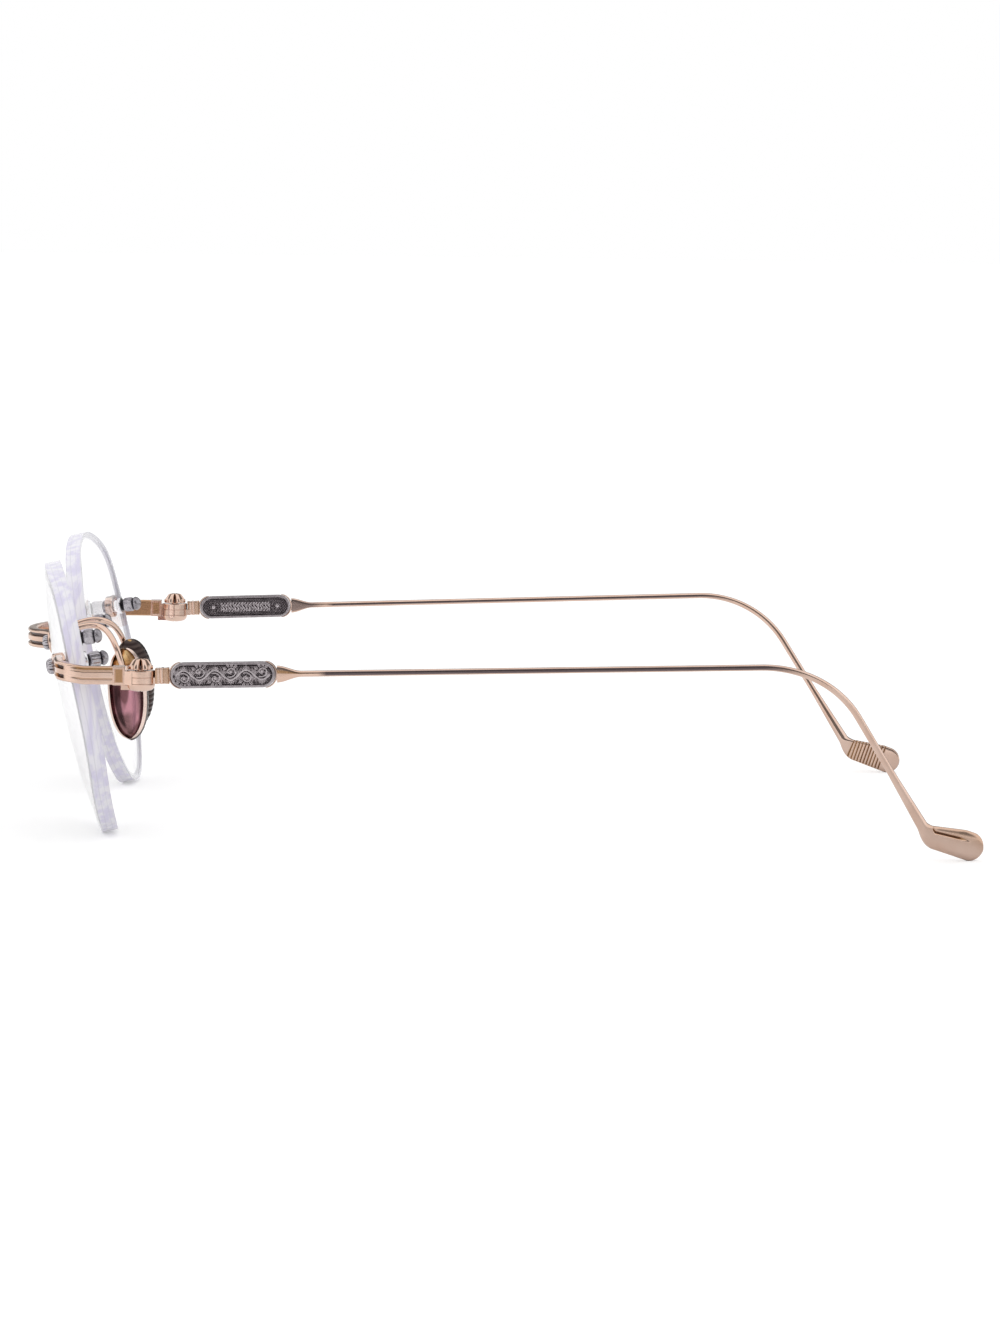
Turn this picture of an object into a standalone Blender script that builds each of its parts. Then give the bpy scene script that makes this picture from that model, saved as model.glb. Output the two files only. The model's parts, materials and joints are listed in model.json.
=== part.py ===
"""Rimless sunglasses: drilled lenses, rosette screws, plaque temples and metal nose pads.

Units are metres and +Z is up. The pair stands open on its lens bottoms and temple tips and faces -Y,
so the wearer's left is +X. The origin lies on the ground under the middle of the pair. The left half is
modelled piece by piece, and the right half is its mirror image.
"""

import math

import bmesh
import bpy
from mathutils import Matrix, Vector

# Overall layout
HINGE_SPACING = 0.1340
BRIDGE_REACH = 0.0217
SEAT_GAP = 0.00015
SOLDER_GAP = 0.00012

# Lenses
LENS_WIDTH = 0.0490
LENS_HEIGHT = 0.0439
LENS_UPPER_FULLNESS = 0.45
LENS_LOWER_FULLNESS = -0.30
LENS_THICKNESS = 0.0027
LENS_BASE_RADIUS = 0.122
LENS_TILT = math.radians(12.4)
LENS_WRAP = math.radians(4.4)
LENS_SPACING = 0.0230
LENS_AHEAD = 0.01415
LENS_HOLE_RADIUS = 0.00105
LENS_OUTLINE_SIDES = 64
BLANK_MARGIN = 0.003
BLANK_RINGS = 4
BLANK_STEPS = 28
DRILL_SIDES = 12

# Lens mounts: screw, bushing and cap nut on the lens normal
TEMPORAL_HOLE_INSET = 0.0036
NASAL_HOLE_INSET = 0.0036
TEMPORAL_HOLE_RISE = 0.0071
NASAL_HOLE_RISE = 0.0079
SHANK_RADIUS = 0.0005
SHANK_CLEARANCE = 0.0001
ROSETTE_RADIUS = 0.00125
ROSETTE_HEIGHT = 0.0011
ROSETTE_PETALS = 8
PETAL_DEPTH = 0.12
NUT_RADIUS = 0.00125
NUT_LENGTH = 0.0040
NUT_FLANGE_RADIUS = 0.0015
NUT_FLANGE_HEIGHT = 0.0008
NUT_END_WALL = 0.0006
FASTENER_SIDES = 12

# Plates that the screws clamp to the lens fronts
PLATE_RADIUS = 0.0019
PLATE_THICKNESS = 0.0017

# Grooved bar of the end pieces and the bridge
BAR_CORNER = 0.00025
GROOVE_SPREAD = 0.00095
GROOVE_WIDTH = 0.0006
GROOVE_DEPTH = 0.0004
FINE_LINE_DEPTH = 0.00012

# End pieces
END_FRONT_HEIGHT = 0.0034
END_SIDE_HEIGHT = 0.0028
END_BAR_THICKNESS = 0.0013
END_FRONT_RUN = 0.0040
END_CORNER_RUN = 0.0058
END_CORNER_RISE = 0.0008
END_SIDE_START = 0.0088
END_SIDE_RISE = 0.0007
END_BLOCK_START = 0.0043
END_BLOCK_LENGTH = 0.0019
END_BLOCK_WIDTH = 0.0022
END_BLOCK_HEIGHT = 0.0029
END_STEPS = 9
HINGE_BELOW_MOUNT = 0.00145

# Hinges
BARREL_RADIUS = 0.0022
EAR_HEIGHT = 0.0008
KNUCKLE_HEIGHT = 0.0010
KNUCKLE_RADIUS = 0.0021
WASHER_THICKNESS = 0.00015
WASHER_CLEARANCE = 0.00005
WASHER_RADIUS = 0.0016
WEB_WIDTH = 0.0018
HINGE_CAP_RADIUS = 0.0019
HINGE_CAP_HEIGHT = 0.0016
HINGE_CAP_LOBES = 4
LOBE_DEPTH = 0.34
HINGE_NUT_RADIUS = 0.0013
HINGE_NUT_HEIGHT = 0.0005
HINGE_NUT_RECESS = 0.0005
BARREL_SIDES = 20

# Temples
TEMPLE_SPLAY = math.radians(3.8)
TEMPLE_RISE = math.radians(1.7)
TEMPLE_LIFT = 0.00065
NECK_START = 0.00245
NECK_HEIGHT = 0.0027
NECK_THICKNESS = 0.0018
COLLAR_START = 0.0031
COLLAR_LENGTH = 0.0005
COLLAR_PROUD = 0.0002
PLAQUE_START = 0.0046
PLAQUE_LENGTH = 0.0161
PLAQUE_HEIGHT = 0.00395
PLAQUE_THICKNESS = 0.0015
PLAQUE_CHAMFER_RUN = 0.0016
PLAQUE_CHAMFER_RISE = 0.0010
PLAQUE_BORDER = 0.00038
PLAQUE_FIELD_DEPTH = 0.00015
BEZEL_RIM = 0.0002
BEZEL_GRIP = 0.0015
BEZEL_THICKNESS = 0.00115
TAPER_LENGTH = 0.0037
TAPER_HEIGHT = 0.0026
WIRE_RADIUS = 0.000475
WIRE_HOOK_RADIUS = 0.00055
WIRE_ELBOW_RADIUS = 0.00088
BEND_START = 0.0950
BEND_RADIUS = 0.0185
BEND_STEPS = 10
LEG_PITCH = math.radians(-55)
LEG_INWARD = math.radians(27)
ELBOW_RADIUS = 0.0040
ELBOW_STEPS = 5
TIP_PITCH = math.radians(-18.5)
TIP_INWARD = math.radians(17)
TIP_FLARE = 0.0006
TIP_LENGTH = 0.0088
TIP_HEIGHT = 0.0045
TIP_THICKNESS = 0.0011
TIP_SQUARENESS = 6.0
WIRE_SIDES = 10
RIDGE_COUNT = 11
RIDGE_PITCH = 0.00058
RIDGE_DEPTH = 0.00012
RIDGE_CUT_RADIUS = 0.00026

# Bridge
BRIDGE_HEIGHT = 0.0030
BRIDGE_THICKNESS = 0.0016
BRIDGE_FOOT_THICKNESS = 0.0012
BRIDGE_BELOW_MOUNT = 0.0004
BRIDGE_CROWN_RUN = 0.0090
BRIDGE_FOOT_RUN = 0.0045
BRIDGE_STEPS = 9

# Nose pads, their arms and boxes
PAD_SPACING = 0.0200
PAD_BEHIND = 0.0048
PAD_CENTRE_HEIGHT = 0.0198
PAD_LENGTH = 0.0150
PAD_WIDTH = 0.0076
PAD_DEPTH = 0.0026
PAD_WALL = 0.0005
PAD_SPLAY = math.radians(30)
PAD_FLARE = math.radians(10)
PAD_LEAN = math.radians(10)
PAD_SQUARENESS = 2.2
PAD_RIDGE_PITCH = 0.00075
PAD_RIDGE_DEPTH = 0.00016
PAD_PIVOT_RISE = 0.0033
PAD_ARC_POINTS = 5
LUG_THICKNESS = 0.0010
LUG_HEIGHT = 0.0017
BOX_WALL = 0.00045
BOX_HEIGHT = 0.0024
BOX_DEPTH = 0.0017
BOX_CLEARANCE = 0.0001
PAD_SCREW_RADIUS = 0.00035
PAD_SCREW_HEAD_RADIUS = 0.0006
PAD_SCREW_HEAD_HEIGHT = 0.0003
ARM_RADIUS = 0.0005
ARM_ROOT_ALONG_BRIDGE = 0.42
ARM_PULL = 0.0028
ARM_END_PULL = 0.0048
ARM_CREST_SIDE = 0.0060
ARM_CREST_BEHIND = 0.0108
ARM_CREST_ABOVE_MOUNT = 0.0018
ARM_LEAN = 0.45

# Worked out from the sizes above
HINGE_X = HINGE_SPACING / 2
KNUCKLE_GAP = WASHER_THICKNESS + 2 * WASHER_CLEARANCE
BARREL_HEIGHT = 2 * EAR_HEIGHT + KNUCKLE_HEIGHT + 2 * KNUCKLE_GAP
BORE_RADIUS = SHANK_RADIUS + SHANK_CLEARANCE
PLATE_TOP = SEAT_GAP + PLATE_THICKNESS
FLIP_X = Matrix.Diagonal((-1, 1, 1, 1))


def remove_everything():
    for old in list(bpy.data.objects):
        bpy.data.objects.remove(old, do_unlink=True)


def new_collection(name):
    collection = bpy.data.collections.new(name)
    bpy.context.scene.collection.children.link(collection)
    return collection


remove_everything()
PARTS = new_collection("rimless_sunglasses")
CUTTERS = new_collection("cutters")


def principled(name, colour, metallic, roughness, alpha=1.0):
    material = bpy.data.materials.new(name)
    material.use_nodes = True
    shader = material.node_tree.nodes["Principled BSDF"]
    shader.inputs["Base Color"].default_value = (*colour, 1.0)
    shader.inputs["Metallic"].default_value = metallic
    shader.inputs["Roughness"].default_value = roughness
    shader.inputs["Alpha"].default_value = alpha
    return material


ROSE_GOLD = principled("rose_gold", (0.86, 0.62, 0.48), 1.0, 0.18)
OLD_SILVER = principled("oxidised_silver", (0.46, 0.43, 0.45), 1.0, 0.35)
LENS_TINT = principled("lens_tint", (0.85, 0.83, 0.92), 0.0, 0.05, 0.35)
CLEAR_NYLON = principled("clear_nylon", (0.90, 0.90, 0.88), 0.0, 0.4)


# Placement helpers
def new_empty(name, location):
    empty = bpy.data.objects.new(name, None)
    empty.empty_display_size = 0.004
    empty.location = location
    PARTS.objects.link(empty)
    return empty


def add_object(name, mesh, frame, parent, material=None):
    thing = bpy.data.objects.new(name, mesh)
    PARTS.objects.link(thing)
    thing.parent = parent
    thing.matrix_local = frame
    if material:
        mesh.materials.clear()
        mesh.materials.append(material)
    return thing


def mesh_from_bmesh(name, bm):
    bmesh.ops.recalc_face_normals(bm, faces=bm.faces)
    mesh = bpy.data.meshes.new(name)
    bm.to_mesh(mesh)
    bm.free()
    return mesh


def shade(thing, angle=math.radians(35)):
    thing.data.shade_smooth()
    thing.data.set_sharp_from_angle(angle=angle)


def as_cutter(thing):
    for collection in list(thing.users_collection):
        collection.objects.unlink(thing)
    CUTTERS.objects.link(thing)
    thing.hide_render = True
    thing.display_type = "WIRE"
    return thing


def combine(thing, other, operation):
    boolean = thing.modifiers.new(operation.lower() + "_" + other.name, "BOOLEAN")
    boolean.operation = operation
    boolean.solver = "EXACT"
    boolean.object = as_cutter(other)
    return thing


def bevel(thing, width, segments=2, angle=math.radians(40)):
    rounding = thing.modifiers.new("rounded_edges", "BEVEL")
    rounding.width = width
    rounding.segments = segments
    rounding.limit_method = "ANGLE"
    rounding.angle_limit = angle
    return thing


# Shape helpers
def cylinder(name, radius, bottom, top, frame, parent, material=None, sides=24):
    bm = bmesh.new()
    middle = Matrix.Translation((0, 0, (bottom + top) / 2))
    bmesh.ops.create_cone(bm, cap_ends=True, segments=sides, radius1=radius, radius2=radius,
                          depth=top - bottom, matrix=middle)
    thing = add_object(name, mesh_from_bmesh(name, bm), frame, parent, material)
    shade(thing)
    return thing


def cuboid(name, low, high, frame, parent, material=None):
    low, high = Vector(low), Vector(high)
    size = high - low
    bm = bmesh.new()
    bmesh.ops.create_cube(bm, size=1.0)
    bmesh.ops.scale(bm, vec=size, verts=bm.verts)
    bmesh.ops.translate(bm, vec=(low + high) / 2, verts=bm.verts)
    return add_object(name, mesh_from_bmesh(name, bm), frame, parent, material)


def turned(name, profile, frame, parent, material, steps=24, ring=False):
    """A profile of (radius, height) points, from the top down the outer side, spun round local Z.

    A ring's profile closes on its first point. Any other starts and ends on the axis.
    """
    mesh = bpy.data.meshes.new(name)
    points = [(radius, 0, height) for radius, height in profile]
    edges = [(i, i + 1) for i in range(len(points) - 1)]
    if ring:
        edges.append((len(points) - 1, 0))
    mesh.from_pydata(points, edges, [])
    thing = add_object(name, mesh, frame, parent, material)
    screw = thing.modifiers.new("turned", "SCREW")
    screw.angle = math.tau
    screw.steps = steps
    screw.render_steps = steps
    screw.use_merge_vertices = True
    screw.merge_threshold = 0.000002
    screw.use_smooth_shade = True
    return thing


def loft(name, rings, frame, parent, material):
    """Bridges closed rings of equally many points. A ring of one point closes that end."""
    bm = bmesh.new()
    loops = [[bm.verts.new(point) for point in ring] for ring in rings]
    for near, far in zip(loops, loops[1:]):
        count = max(len(near), len(far))
        for i in range(count):
            k = (i + 1) % count
            corners = [near[i % len(near)], near[k % len(near)], far[k % len(far)], far[i % len(far)]]
            bm.faces.new(dict.fromkeys(corners))
    for loop in (loops[0], loops[-1]):
        if len(loop) > 1:
            bm.faces.new(loop)
    thing = add_object(name, mesh_from_bmesh(name, bm), frame, parent, material)
    shade(thing)
    return thing


def lobed(name, profile, lobes, frame, parent, material, steps):
    """Like turned, but each (radius, height, depth) ring draws in between its lobes by that depth."""
    rings = []
    for radius, height, depth in profile:
        if radius == 0:
            rings.append([Vector((0, 0, height))])
            continue
        ring = []
        for i in range(steps):
            turn = math.tau * i / steps
            reach = radius * (1 - depth * (1 - abs(math.cos(lobes * turn / 2))))
            ring.append(Vector((reach * math.cos(turn), reach * math.sin(turn), height)))
        rings.append(ring)
    return loft(name, rings, frame, parent, material)


def solid_from_curve(curve_object, material=None):
    """Replaces a curve object by a mesh object with welded caps."""
    bpy.context.view_layer.update()
    evaluated = curve_object.evaluated_get(bpy.context.evaluated_depsgraph_get())
    mesh = bpy.data.meshes.new_from_object(evaluated)
    bm = bmesh.new()
    bm.from_mesh(mesh)
    bmesh.ops.remove_doubles(bm, verts=bm.verts, dist=0.000001)
    bmesh.ops.recalc_face_normals(bm, faces=bm.faces)
    bm.to_mesh(mesh)
    bm.free()
    name, parent = curve_object.name, curve_object.parent
    frame = curve_object.matrix_local.copy()
    bpy.data.objects.remove(curve_object, do_unlink=True)
    return add_object(name, mesh, frame, parent, material)


def plate(name, outline, thickness, frame, parent, material=None):
    """A flat outline of (x, y) points, as thick along local Z as told and centred on it."""
    curve = bpy.data.curves.new(name, "CURVE")
    curve.dimensions = "2D"
    curve.fill_mode = "BOTH"
    curve.extrude = thickness / 2
    spline = curve.splines.new("POLY")
    spline.points.add(len(outline) - 1)
    for point, (x, y) in zip(spline.points, outline):
        point.co = (x, y, 0, 1)
    spline.use_cyclic_u = True
    return solid_from_curve(add_object(name, curve, frame, parent), material)


def superellipse(half_width, half_height, squareness, count, start=0.0):
    points = []
    for i in range(count):
        turn = start + math.tau * i / count
        c, s = math.cos(turn), math.sin(turn)
        x = half_width * math.copysign(abs(c) ** (2 / squareness), c)
        y = half_height * math.copysign(abs(s) ** (2 / squareness), s)
        points.append((x, y))
    return points


def grooved_section(height, thickness, groove_depth):
    """Bar section as (outward, up) points, with two grooves along its outward face."""
    out, tall, corner = thickness / 2, height / 2, BAR_CORNER
    half, floor = GROOVE_WIDTH / 2, out - groove_depth
    section = [(-out, -tall + corner), (-out + corner, -tall), (out - corner, -tall), (out, -tall + corner)]
    for middle in (-GROOVE_SPREAD / 2, GROOVE_SPREAD / 2):
        section += [(out, middle - half / 2 - half / 4), (floor, middle - half / 2)]
        section += [(floor, middle + half / 2), (out, middle + half / 2 + half / 4)]
    section += [(out, tall - corner), (out - corner, tall), (-out + corner, tall), (-out, tall - corner)]
    return section


def bezier(start, start_handle, end_handle, end, t):
    s = 1 - t
    return s ** 3 * start + 3 * s * s * t * start_handle + 3 * s * t * t * end_handle + t ** 3 * end


def directions(frame):
    """The frame's X, Y and Z directions."""
    return [column.to_3d() for column in frame.transposed()[:3]]


def blend(a, b, t):
    return a + (b - a) * t


def smooth(t):
    return t * t * (3 - 2 * t)


def bar_rings(stations):
    """Rings of a bar from (centre, outward, up, height, thickness, groove depth) stations."""
    rings = []
    for centre, outward, up, height, thickness, groove in stations:
        section = grooved_section(height, thickness, groove)
        rings.append([centre + outward * out + up * rise for out, rise in section])
    return rings


# Lens frame: local X outward, Y up and Z forward, from the front's middle
def lens_sag(u, v):
    return LENS_BASE_RADIUS - math.sqrt(LENS_BASE_RADIUS ** 2 - u * u - v * v)


def lens_turn():
    upright = Matrix.Rotation(math.pi / 2, 4, "X")
    return Matrix.Rotation(LENS_TILT, 4, "X") @ Matrix.Rotation(LENS_WRAP, 4, "Z") @ upright


def lens_outline():
    """Oval of (x, y) points that is fuller than an ellipse above its middle and slimmer below it.

    The first point is half a side past the lowest one, which leaves a flat facet to stand on.
    """
    points = []
    for i in range(LENS_OUTLINE_SIDES):
        turn = -math.pi / 2 + math.tau * (i + 0.5) / LENS_OUTLINE_SIDES
        fullness = LENS_UPPER_FULLNESS if math.sin(turn) > 0 else LENS_LOWER_FULLNESS
        squareness = 2 + fullness * math.sin(2 * turn) ** 2
        points += superellipse(LENS_WIDTH / 2, LENS_HEIGHT / 2, squareness, 1, turn)
    return points


def lens_frame():
    """Stands the lens so that the lowest point of its front edge is on the ground."""
    turn = lens_turn()
    lowest = min((turn @ Vector((u, v, -lens_sag(u, v)))).z for u, v in lens_outline())
    middle = Vector((LENS_SPACING / 2 + LENS_WIDTH / 2, -LENS_AHEAD, -lowest))
    return Matrix.Translation(middle) @ turn


def seat_frame(u, v):
    """Frame on the lens front at (u, v), with local Z along the surface normal."""
    point = Vector((u, v, -lens_sag(u, v)))
    normal = (point + Vector((0, 0, LENS_BASE_RADIUS))).normalized()
    side = Vector((0, 1, 0)).cross(normal).normalized()
    up = normal.cross(side)
    frame = Matrix((side, up, normal)).transposed().to_4x4()
    frame.translation = point
    return LENS_FRAME @ frame


LENS_FRAME = lens_frame()
TEMPORAL_SEAT = seat_frame(LENS_WIDTH / 2 - TEMPORAL_HOLE_INSET, TEMPORAL_HOLE_RISE)
NASAL_SEAT = seat_frame(NASAL_HOLE_INSET - LENS_WIDTH / 2, NASAL_HOLE_RISE)
HINGE_HEIGHT = TEMPORAL_SEAT.translation.z - HINGE_BELOW_MOUNT


# Temple route, from the hinge axis, as (centre, side, up) stations
def heading(inward, pitch):
    side = Vector((math.cos(inward), math.sin(inward), 0))
    ahead = Vector((-math.sin(inward) * math.cos(pitch), math.cos(inward) * math.cos(pitch), math.sin(pitch)))
    return side, ahead, side.cross(ahead)


def run_frame():
    """Frame of the straight part: local Y runs back along the temple and Z is up."""
    side, ahead, up = heading(-TEMPLE_SPLAY, TEMPLE_RISE)
    frame = Matrix((side, ahead, up)).transposed().to_4x4()
    frame.translation = (0, 0, TEMPLE_LIFT)
    return frame


RUN_FRAME = run_frame()
PLAQUE_END = PLAQUE_START + PLAQUE_LENGTH
TAPER_START = PLAQUE_END + SEAT_GAP + BEZEL_RIM / 2
TAPER_END = TAPER_START + TAPER_LENGTH


def wire_section(frame_axes, centre, half_height, half_thickness, squareness):
    side, _, up = frame_axes
    points = superellipse(half_thickness, half_height, squareness, WIRE_SIDES, math.pi / WIRE_SIDES)
    return [centre + side * x + up * y for x, y in points]


def walk_arc(position, start, end, radius, steps):
    """Steps along an arc between two (inward, pitch) headings, yielding each position and heading."""
    angle = abs(end[1] - start[1])
    stride = radius * angle / steps
    for i in range(1, steps + 1):
        before = blend(Vector(start), Vector(end), (i - 0.5) / steps)
        after = blend(Vector(start), Vector(end), i / steps)
        position = position + heading(*before)[1] * stride
        yield position, heading(*after)


def wire_rings(leg_length):
    """Rings of the temple wire from its taper to the round end of its flat tip, and the tip's frame."""
    straight = heading(-TEMPLE_SPLAY, TEMPLE_RISE)
    leg = heading(LEG_INWARD, LEG_PITCH)
    tip = heading(TIP_INWARD, TIP_PITCH)
    rings = []

    def run_station(distance, half_height, half_thickness, squareness):
        centre = RUN_FRAME @ Vector((0, distance, 0))
        rings.append(wire_section(straight, centre, half_height, half_thickness, squareness))

    run_station(TAPER_START, TAPER_HEIGHT / 2, BEZEL_THICKNESS / 2 - SOLDER_GAP / 2, 4)
    for part in (0.25, 0.5, 0.75):
        along = blend(TAPER_START, TAPER_END, part)
        shrink = smooth(part)
        half_height = blend(TAPER_HEIGHT / 2, WIRE_RADIUS, shrink)
        half_thickness = blend(BEZEL_THICKNESS / 2 - SOLDER_GAP / 2, WIRE_RADIUS, shrink)
        run_station(along, half_height, half_thickness, blend(4, 2, part))
    run_station(TAPER_END, WIRE_RADIUS, WIRE_RADIUS, 2)
    run_station(blend(TAPER_END, BEND_START, 0.5), WIRE_RADIUS, WIRE_RADIUS, 2)
    run_station(BEND_START, WIRE_RADIUS, WIRE_RADIUS, 2)

    position = RUN_FRAME @ Vector((0, BEND_START, 0))
    bend = walk_arc(position, (-TEMPLE_SPLAY, TEMPLE_RISE), (LEG_INWARD, LEG_PITCH), BEND_RADIUS, BEND_STEPS)
    for i, (position, axes) in enumerate(bend, start=1):
        radius = blend(WIRE_RADIUS, WIRE_HOOK_RADIUS, i / BEND_STEPS)
        rings.append(wire_section(axes, position, radius, radius, 2))

    for part in (0.5, 1.0):
        position = position + leg[1] * leg_length * 0.5
        radius = blend(WIRE_HOOK_RADIUS, WIRE_ELBOW_RADIUS, part)
        rings.append(wire_section(leg, position, radius, radius, 2))

    elbow = walk_arc(position, (LEG_INWARD, LEG_PITCH), (TIP_INWARD, TIP_PITCH), ELBOW_RADIUS, ELBOW_STEPS)
    flaring = [(1, position, leg)] + [(i, *station) for i, station in enumerate(elbow, start=2)]
    tip_start = flaring[-1][1]
    flaring.append((ELBOW_STEPS + 2, tip_start + tip[1] * TIP_FLARE, tip))
    for i, position, axes in flaring[1:]:
        grow = smooth((i - 1) / (ELBOW_STEPS + 1))
        half_height = blend(WIRE_ELBOW_RADIUS, TIP_HEIGHT / 2, grow)
        half_thickness = blend(WIRE_ELBOW_RADIUS, TIP_THICKNESS / 2, grow)
        squareness = blend(2, TIP_SQUARENESS, grow)
        rings.append(wire_section(axes, position, half_height, half_thickness, squareness))
    round_start = TIP_LENGTH - TIP_HEIGHT / 2
    for turn in (0, 20, 40, 57, 71, 82):
        angle = math.radians(turn)
        centre = tip_start + tip[1] * (round_start + TIP_HEIGHT / 2 * math.sin(angle))
        half_height = TIP_HEIGHT / 2 * math.cos(angle)
        half_thickness = TIP_THICKNESS / 2 * (1 - 0.35 * smooth(turn / 82))
        rings.append(wire_section(tip, centre, half_height, half_thickness, TIP_SQUARENESS))

    tip_frame = Matrix(tip).transposed().to_4x4()
    tip_frame.translation = tip_start
    return rings, tip_frame


def lowest_of(rings):
    return min(point.z for ring in rings for point in ring)


# The leg is as long as it takes for the tip to stand on the ground
LEG_LENGTH = (lowest_of(wire_rings(0.0)[0]) + HINGE_HEIGHT) / math.sin(-LEG_PITCH)
WIRE_RINGS, TIP_FRAME = wire_rings(LEG_LENGTH)
TIP_REACH = max(point.y for ring in WIRE_RINGS for point in ring)
HINGE_Y = (BRIDGE_REACH - TIP_REACH) / 2

# Joint axes and the frame that carries the front
FRONT = new_empty("front_frame", (0, HINGE_Y, 0))
HINGE = {side: new_empty("temple_" + name + "_axis", (side * HINGE_X, HINGE_Y, HINGE_HEIGHT))
         for side, name in ((1, "left"), (-1, "right"))}


def pad_frame():
    """Frame on the left pad's pivot: local X outward, Y along its width and Z up its length."""
    turn = Matrix.Rotation(PAD_LEAN, 4, "X") @ Matrix.Rotation(-PAD_SPLAY, 4, "Z")
    turn = turn @ Matrix.Rotation(-PAD_FLARE, 4, "Y")
    centre = Vector((PAD_SPACING / 2, -PAD_BEHIND, PAD_CENTRE_HEIGHT))
    return Matrix.Translation(centre) @ turn @ Matrix.Translation((0, 0, PAD_PIVOT_RISE))


PAD_FRAME = pad_frame()
PAD_AXIS = new_empty("nose_pad_left_axis", PAD_FRAME.translation + Vector((0, HINGE_Y, 0)))
RIGHT_PAD_AXIS = new_empty("nose_pad_right_axis", FLIP_X @ PAD_AXIS.location)
PAD_TURN = PAD_FRAME.to_3x3().to_4x4()


def lens():
    rim = LENS_WIDTH / 2 + BLANK_MARGIN
    radii = [rim * i / BLANK_RINGS for i in range(BLANK_RINGS + 1)]
    back_radius = LENS_BASE_RADIUS - LENS_THICKNESS
    front = [(r, -lens_sag(r, 0)) for r in radii]
    back = [(r, math.sqrt(back_radius ** 2 - r * r) - LENS_BASE_RADIUS) for r in reversed(radii)]
    blank = turned("lens_left", front + back, LENS_FRAME, FRONT, LENS_TINT, BLANK_STEPS)
    edger = plate("lens_edger", lens_outline(), LENS_WIDTH, LENS_FRAME, FRONT)
    combine(blank, edger, "INTERSECT")
    for name, seat in (("temporal", TEMPORAL_SEAT), ("nasal", NASAL_SEAT)):
        reach = 2 * LENS_THICKNESS
        drill = cylinder("lens_drill_" + name, LENS_HOLE_RADIUS, -reach, reach, seat, FRONT,
                         sides=DRILL_SIDES)
        combine(blank, drill, "DIFFERENCE")


def lens_mount(name, seat):
    bushing_outer = LENS_HOLE_RADIUS - SHANK_CLEARANCE
    bushing_inner = BORE_RADIUS
    bushing = [(bushing_inner, 0), (bushing_outer, 0), (bushing_outer, -LENS_THICKNESS),
               (bushing_inner, -LENS_THICKNESS)]
    turned("lens_bushing_" + name + "_left", bushing, seat, FRONT, CLEAR_NYLON, DRILL_SIDES, ring=True)

    base = PLATE_TOP + SEAT_GAP
    nut_base = -LENS_THICKNESS - SEAT_GAP
    shank_end = nut_base - NUT_LENGTH + NUT_END_WALL + SEAT_GAP
    head = [(0, base + ROSETTE_HEIGHT, 0),
            (0.30 * ROSETTE_RADIUS, base + ROSETTE_HEIGHT, 0),
            (0.42 * ROSETTE_RADIUS, base + 0.80 * ROSETTE_HEIGHT, PETAL_DEPTH),
            (0.72 * ROSETTE_RADIUS, base + 0.86 * ROSETTE_HEIGHT, PETAL_DEPTH),
            (0.94 * ROSETTE_RADIUS, base + 0.62 * ROSETTE_HEIGHT, PETAL_DEPTH),
            (ROSETTE_RADIUS, base + 0.25 * ROSETTE_HEIGHT, PETAL_DEPTH),
            (0.94 * ROSETTE_RADIUS, base, PETAL_DEPTH),
            (SHANK_RADIUS, base, 0),
            (SHANK_RADIUS, shank_end, 0),
            (0, shank_end, 0)]
    lobed("mount_screw_" + name + "_left", head, ROSETTE_PETALS, seat, FRONT, OLD_SILVER, 2 * ROSETTE_PETALS)

    dome = nut_base - NUT_LENGTH
    body_end = dome + 0.7 * NUT_RADIUS
    bore_end = shank_end - SEAT_GAP
    nut = [(0, bore_end), (BORE_RADIUS, bore_end), (BORE_RADIUS, nut_base), (NUT_FLANGE_RADIUS, nut_base),
           (NUT_FLANGE_RADIUS, nut_base - 0.6 * NUT_FLANGE_HEIGHT),
           (NUT_RADIUS, nut_base - NUT_FLANGE_HEIGHT),
           (NUT_RADIUS, body_end),
           (0.80 * NUT_RADIUS, blend(body_end, dome, 0.5)),
           (0.45 * NUT_RADIUS, blend(body_end, dome, 0.9)),
           (0, dome)]
    turned("cap_nut_" + name + "_left", nut, seat, FRONT, OLD_SILVER, FASTENER_SIDES)


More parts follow.
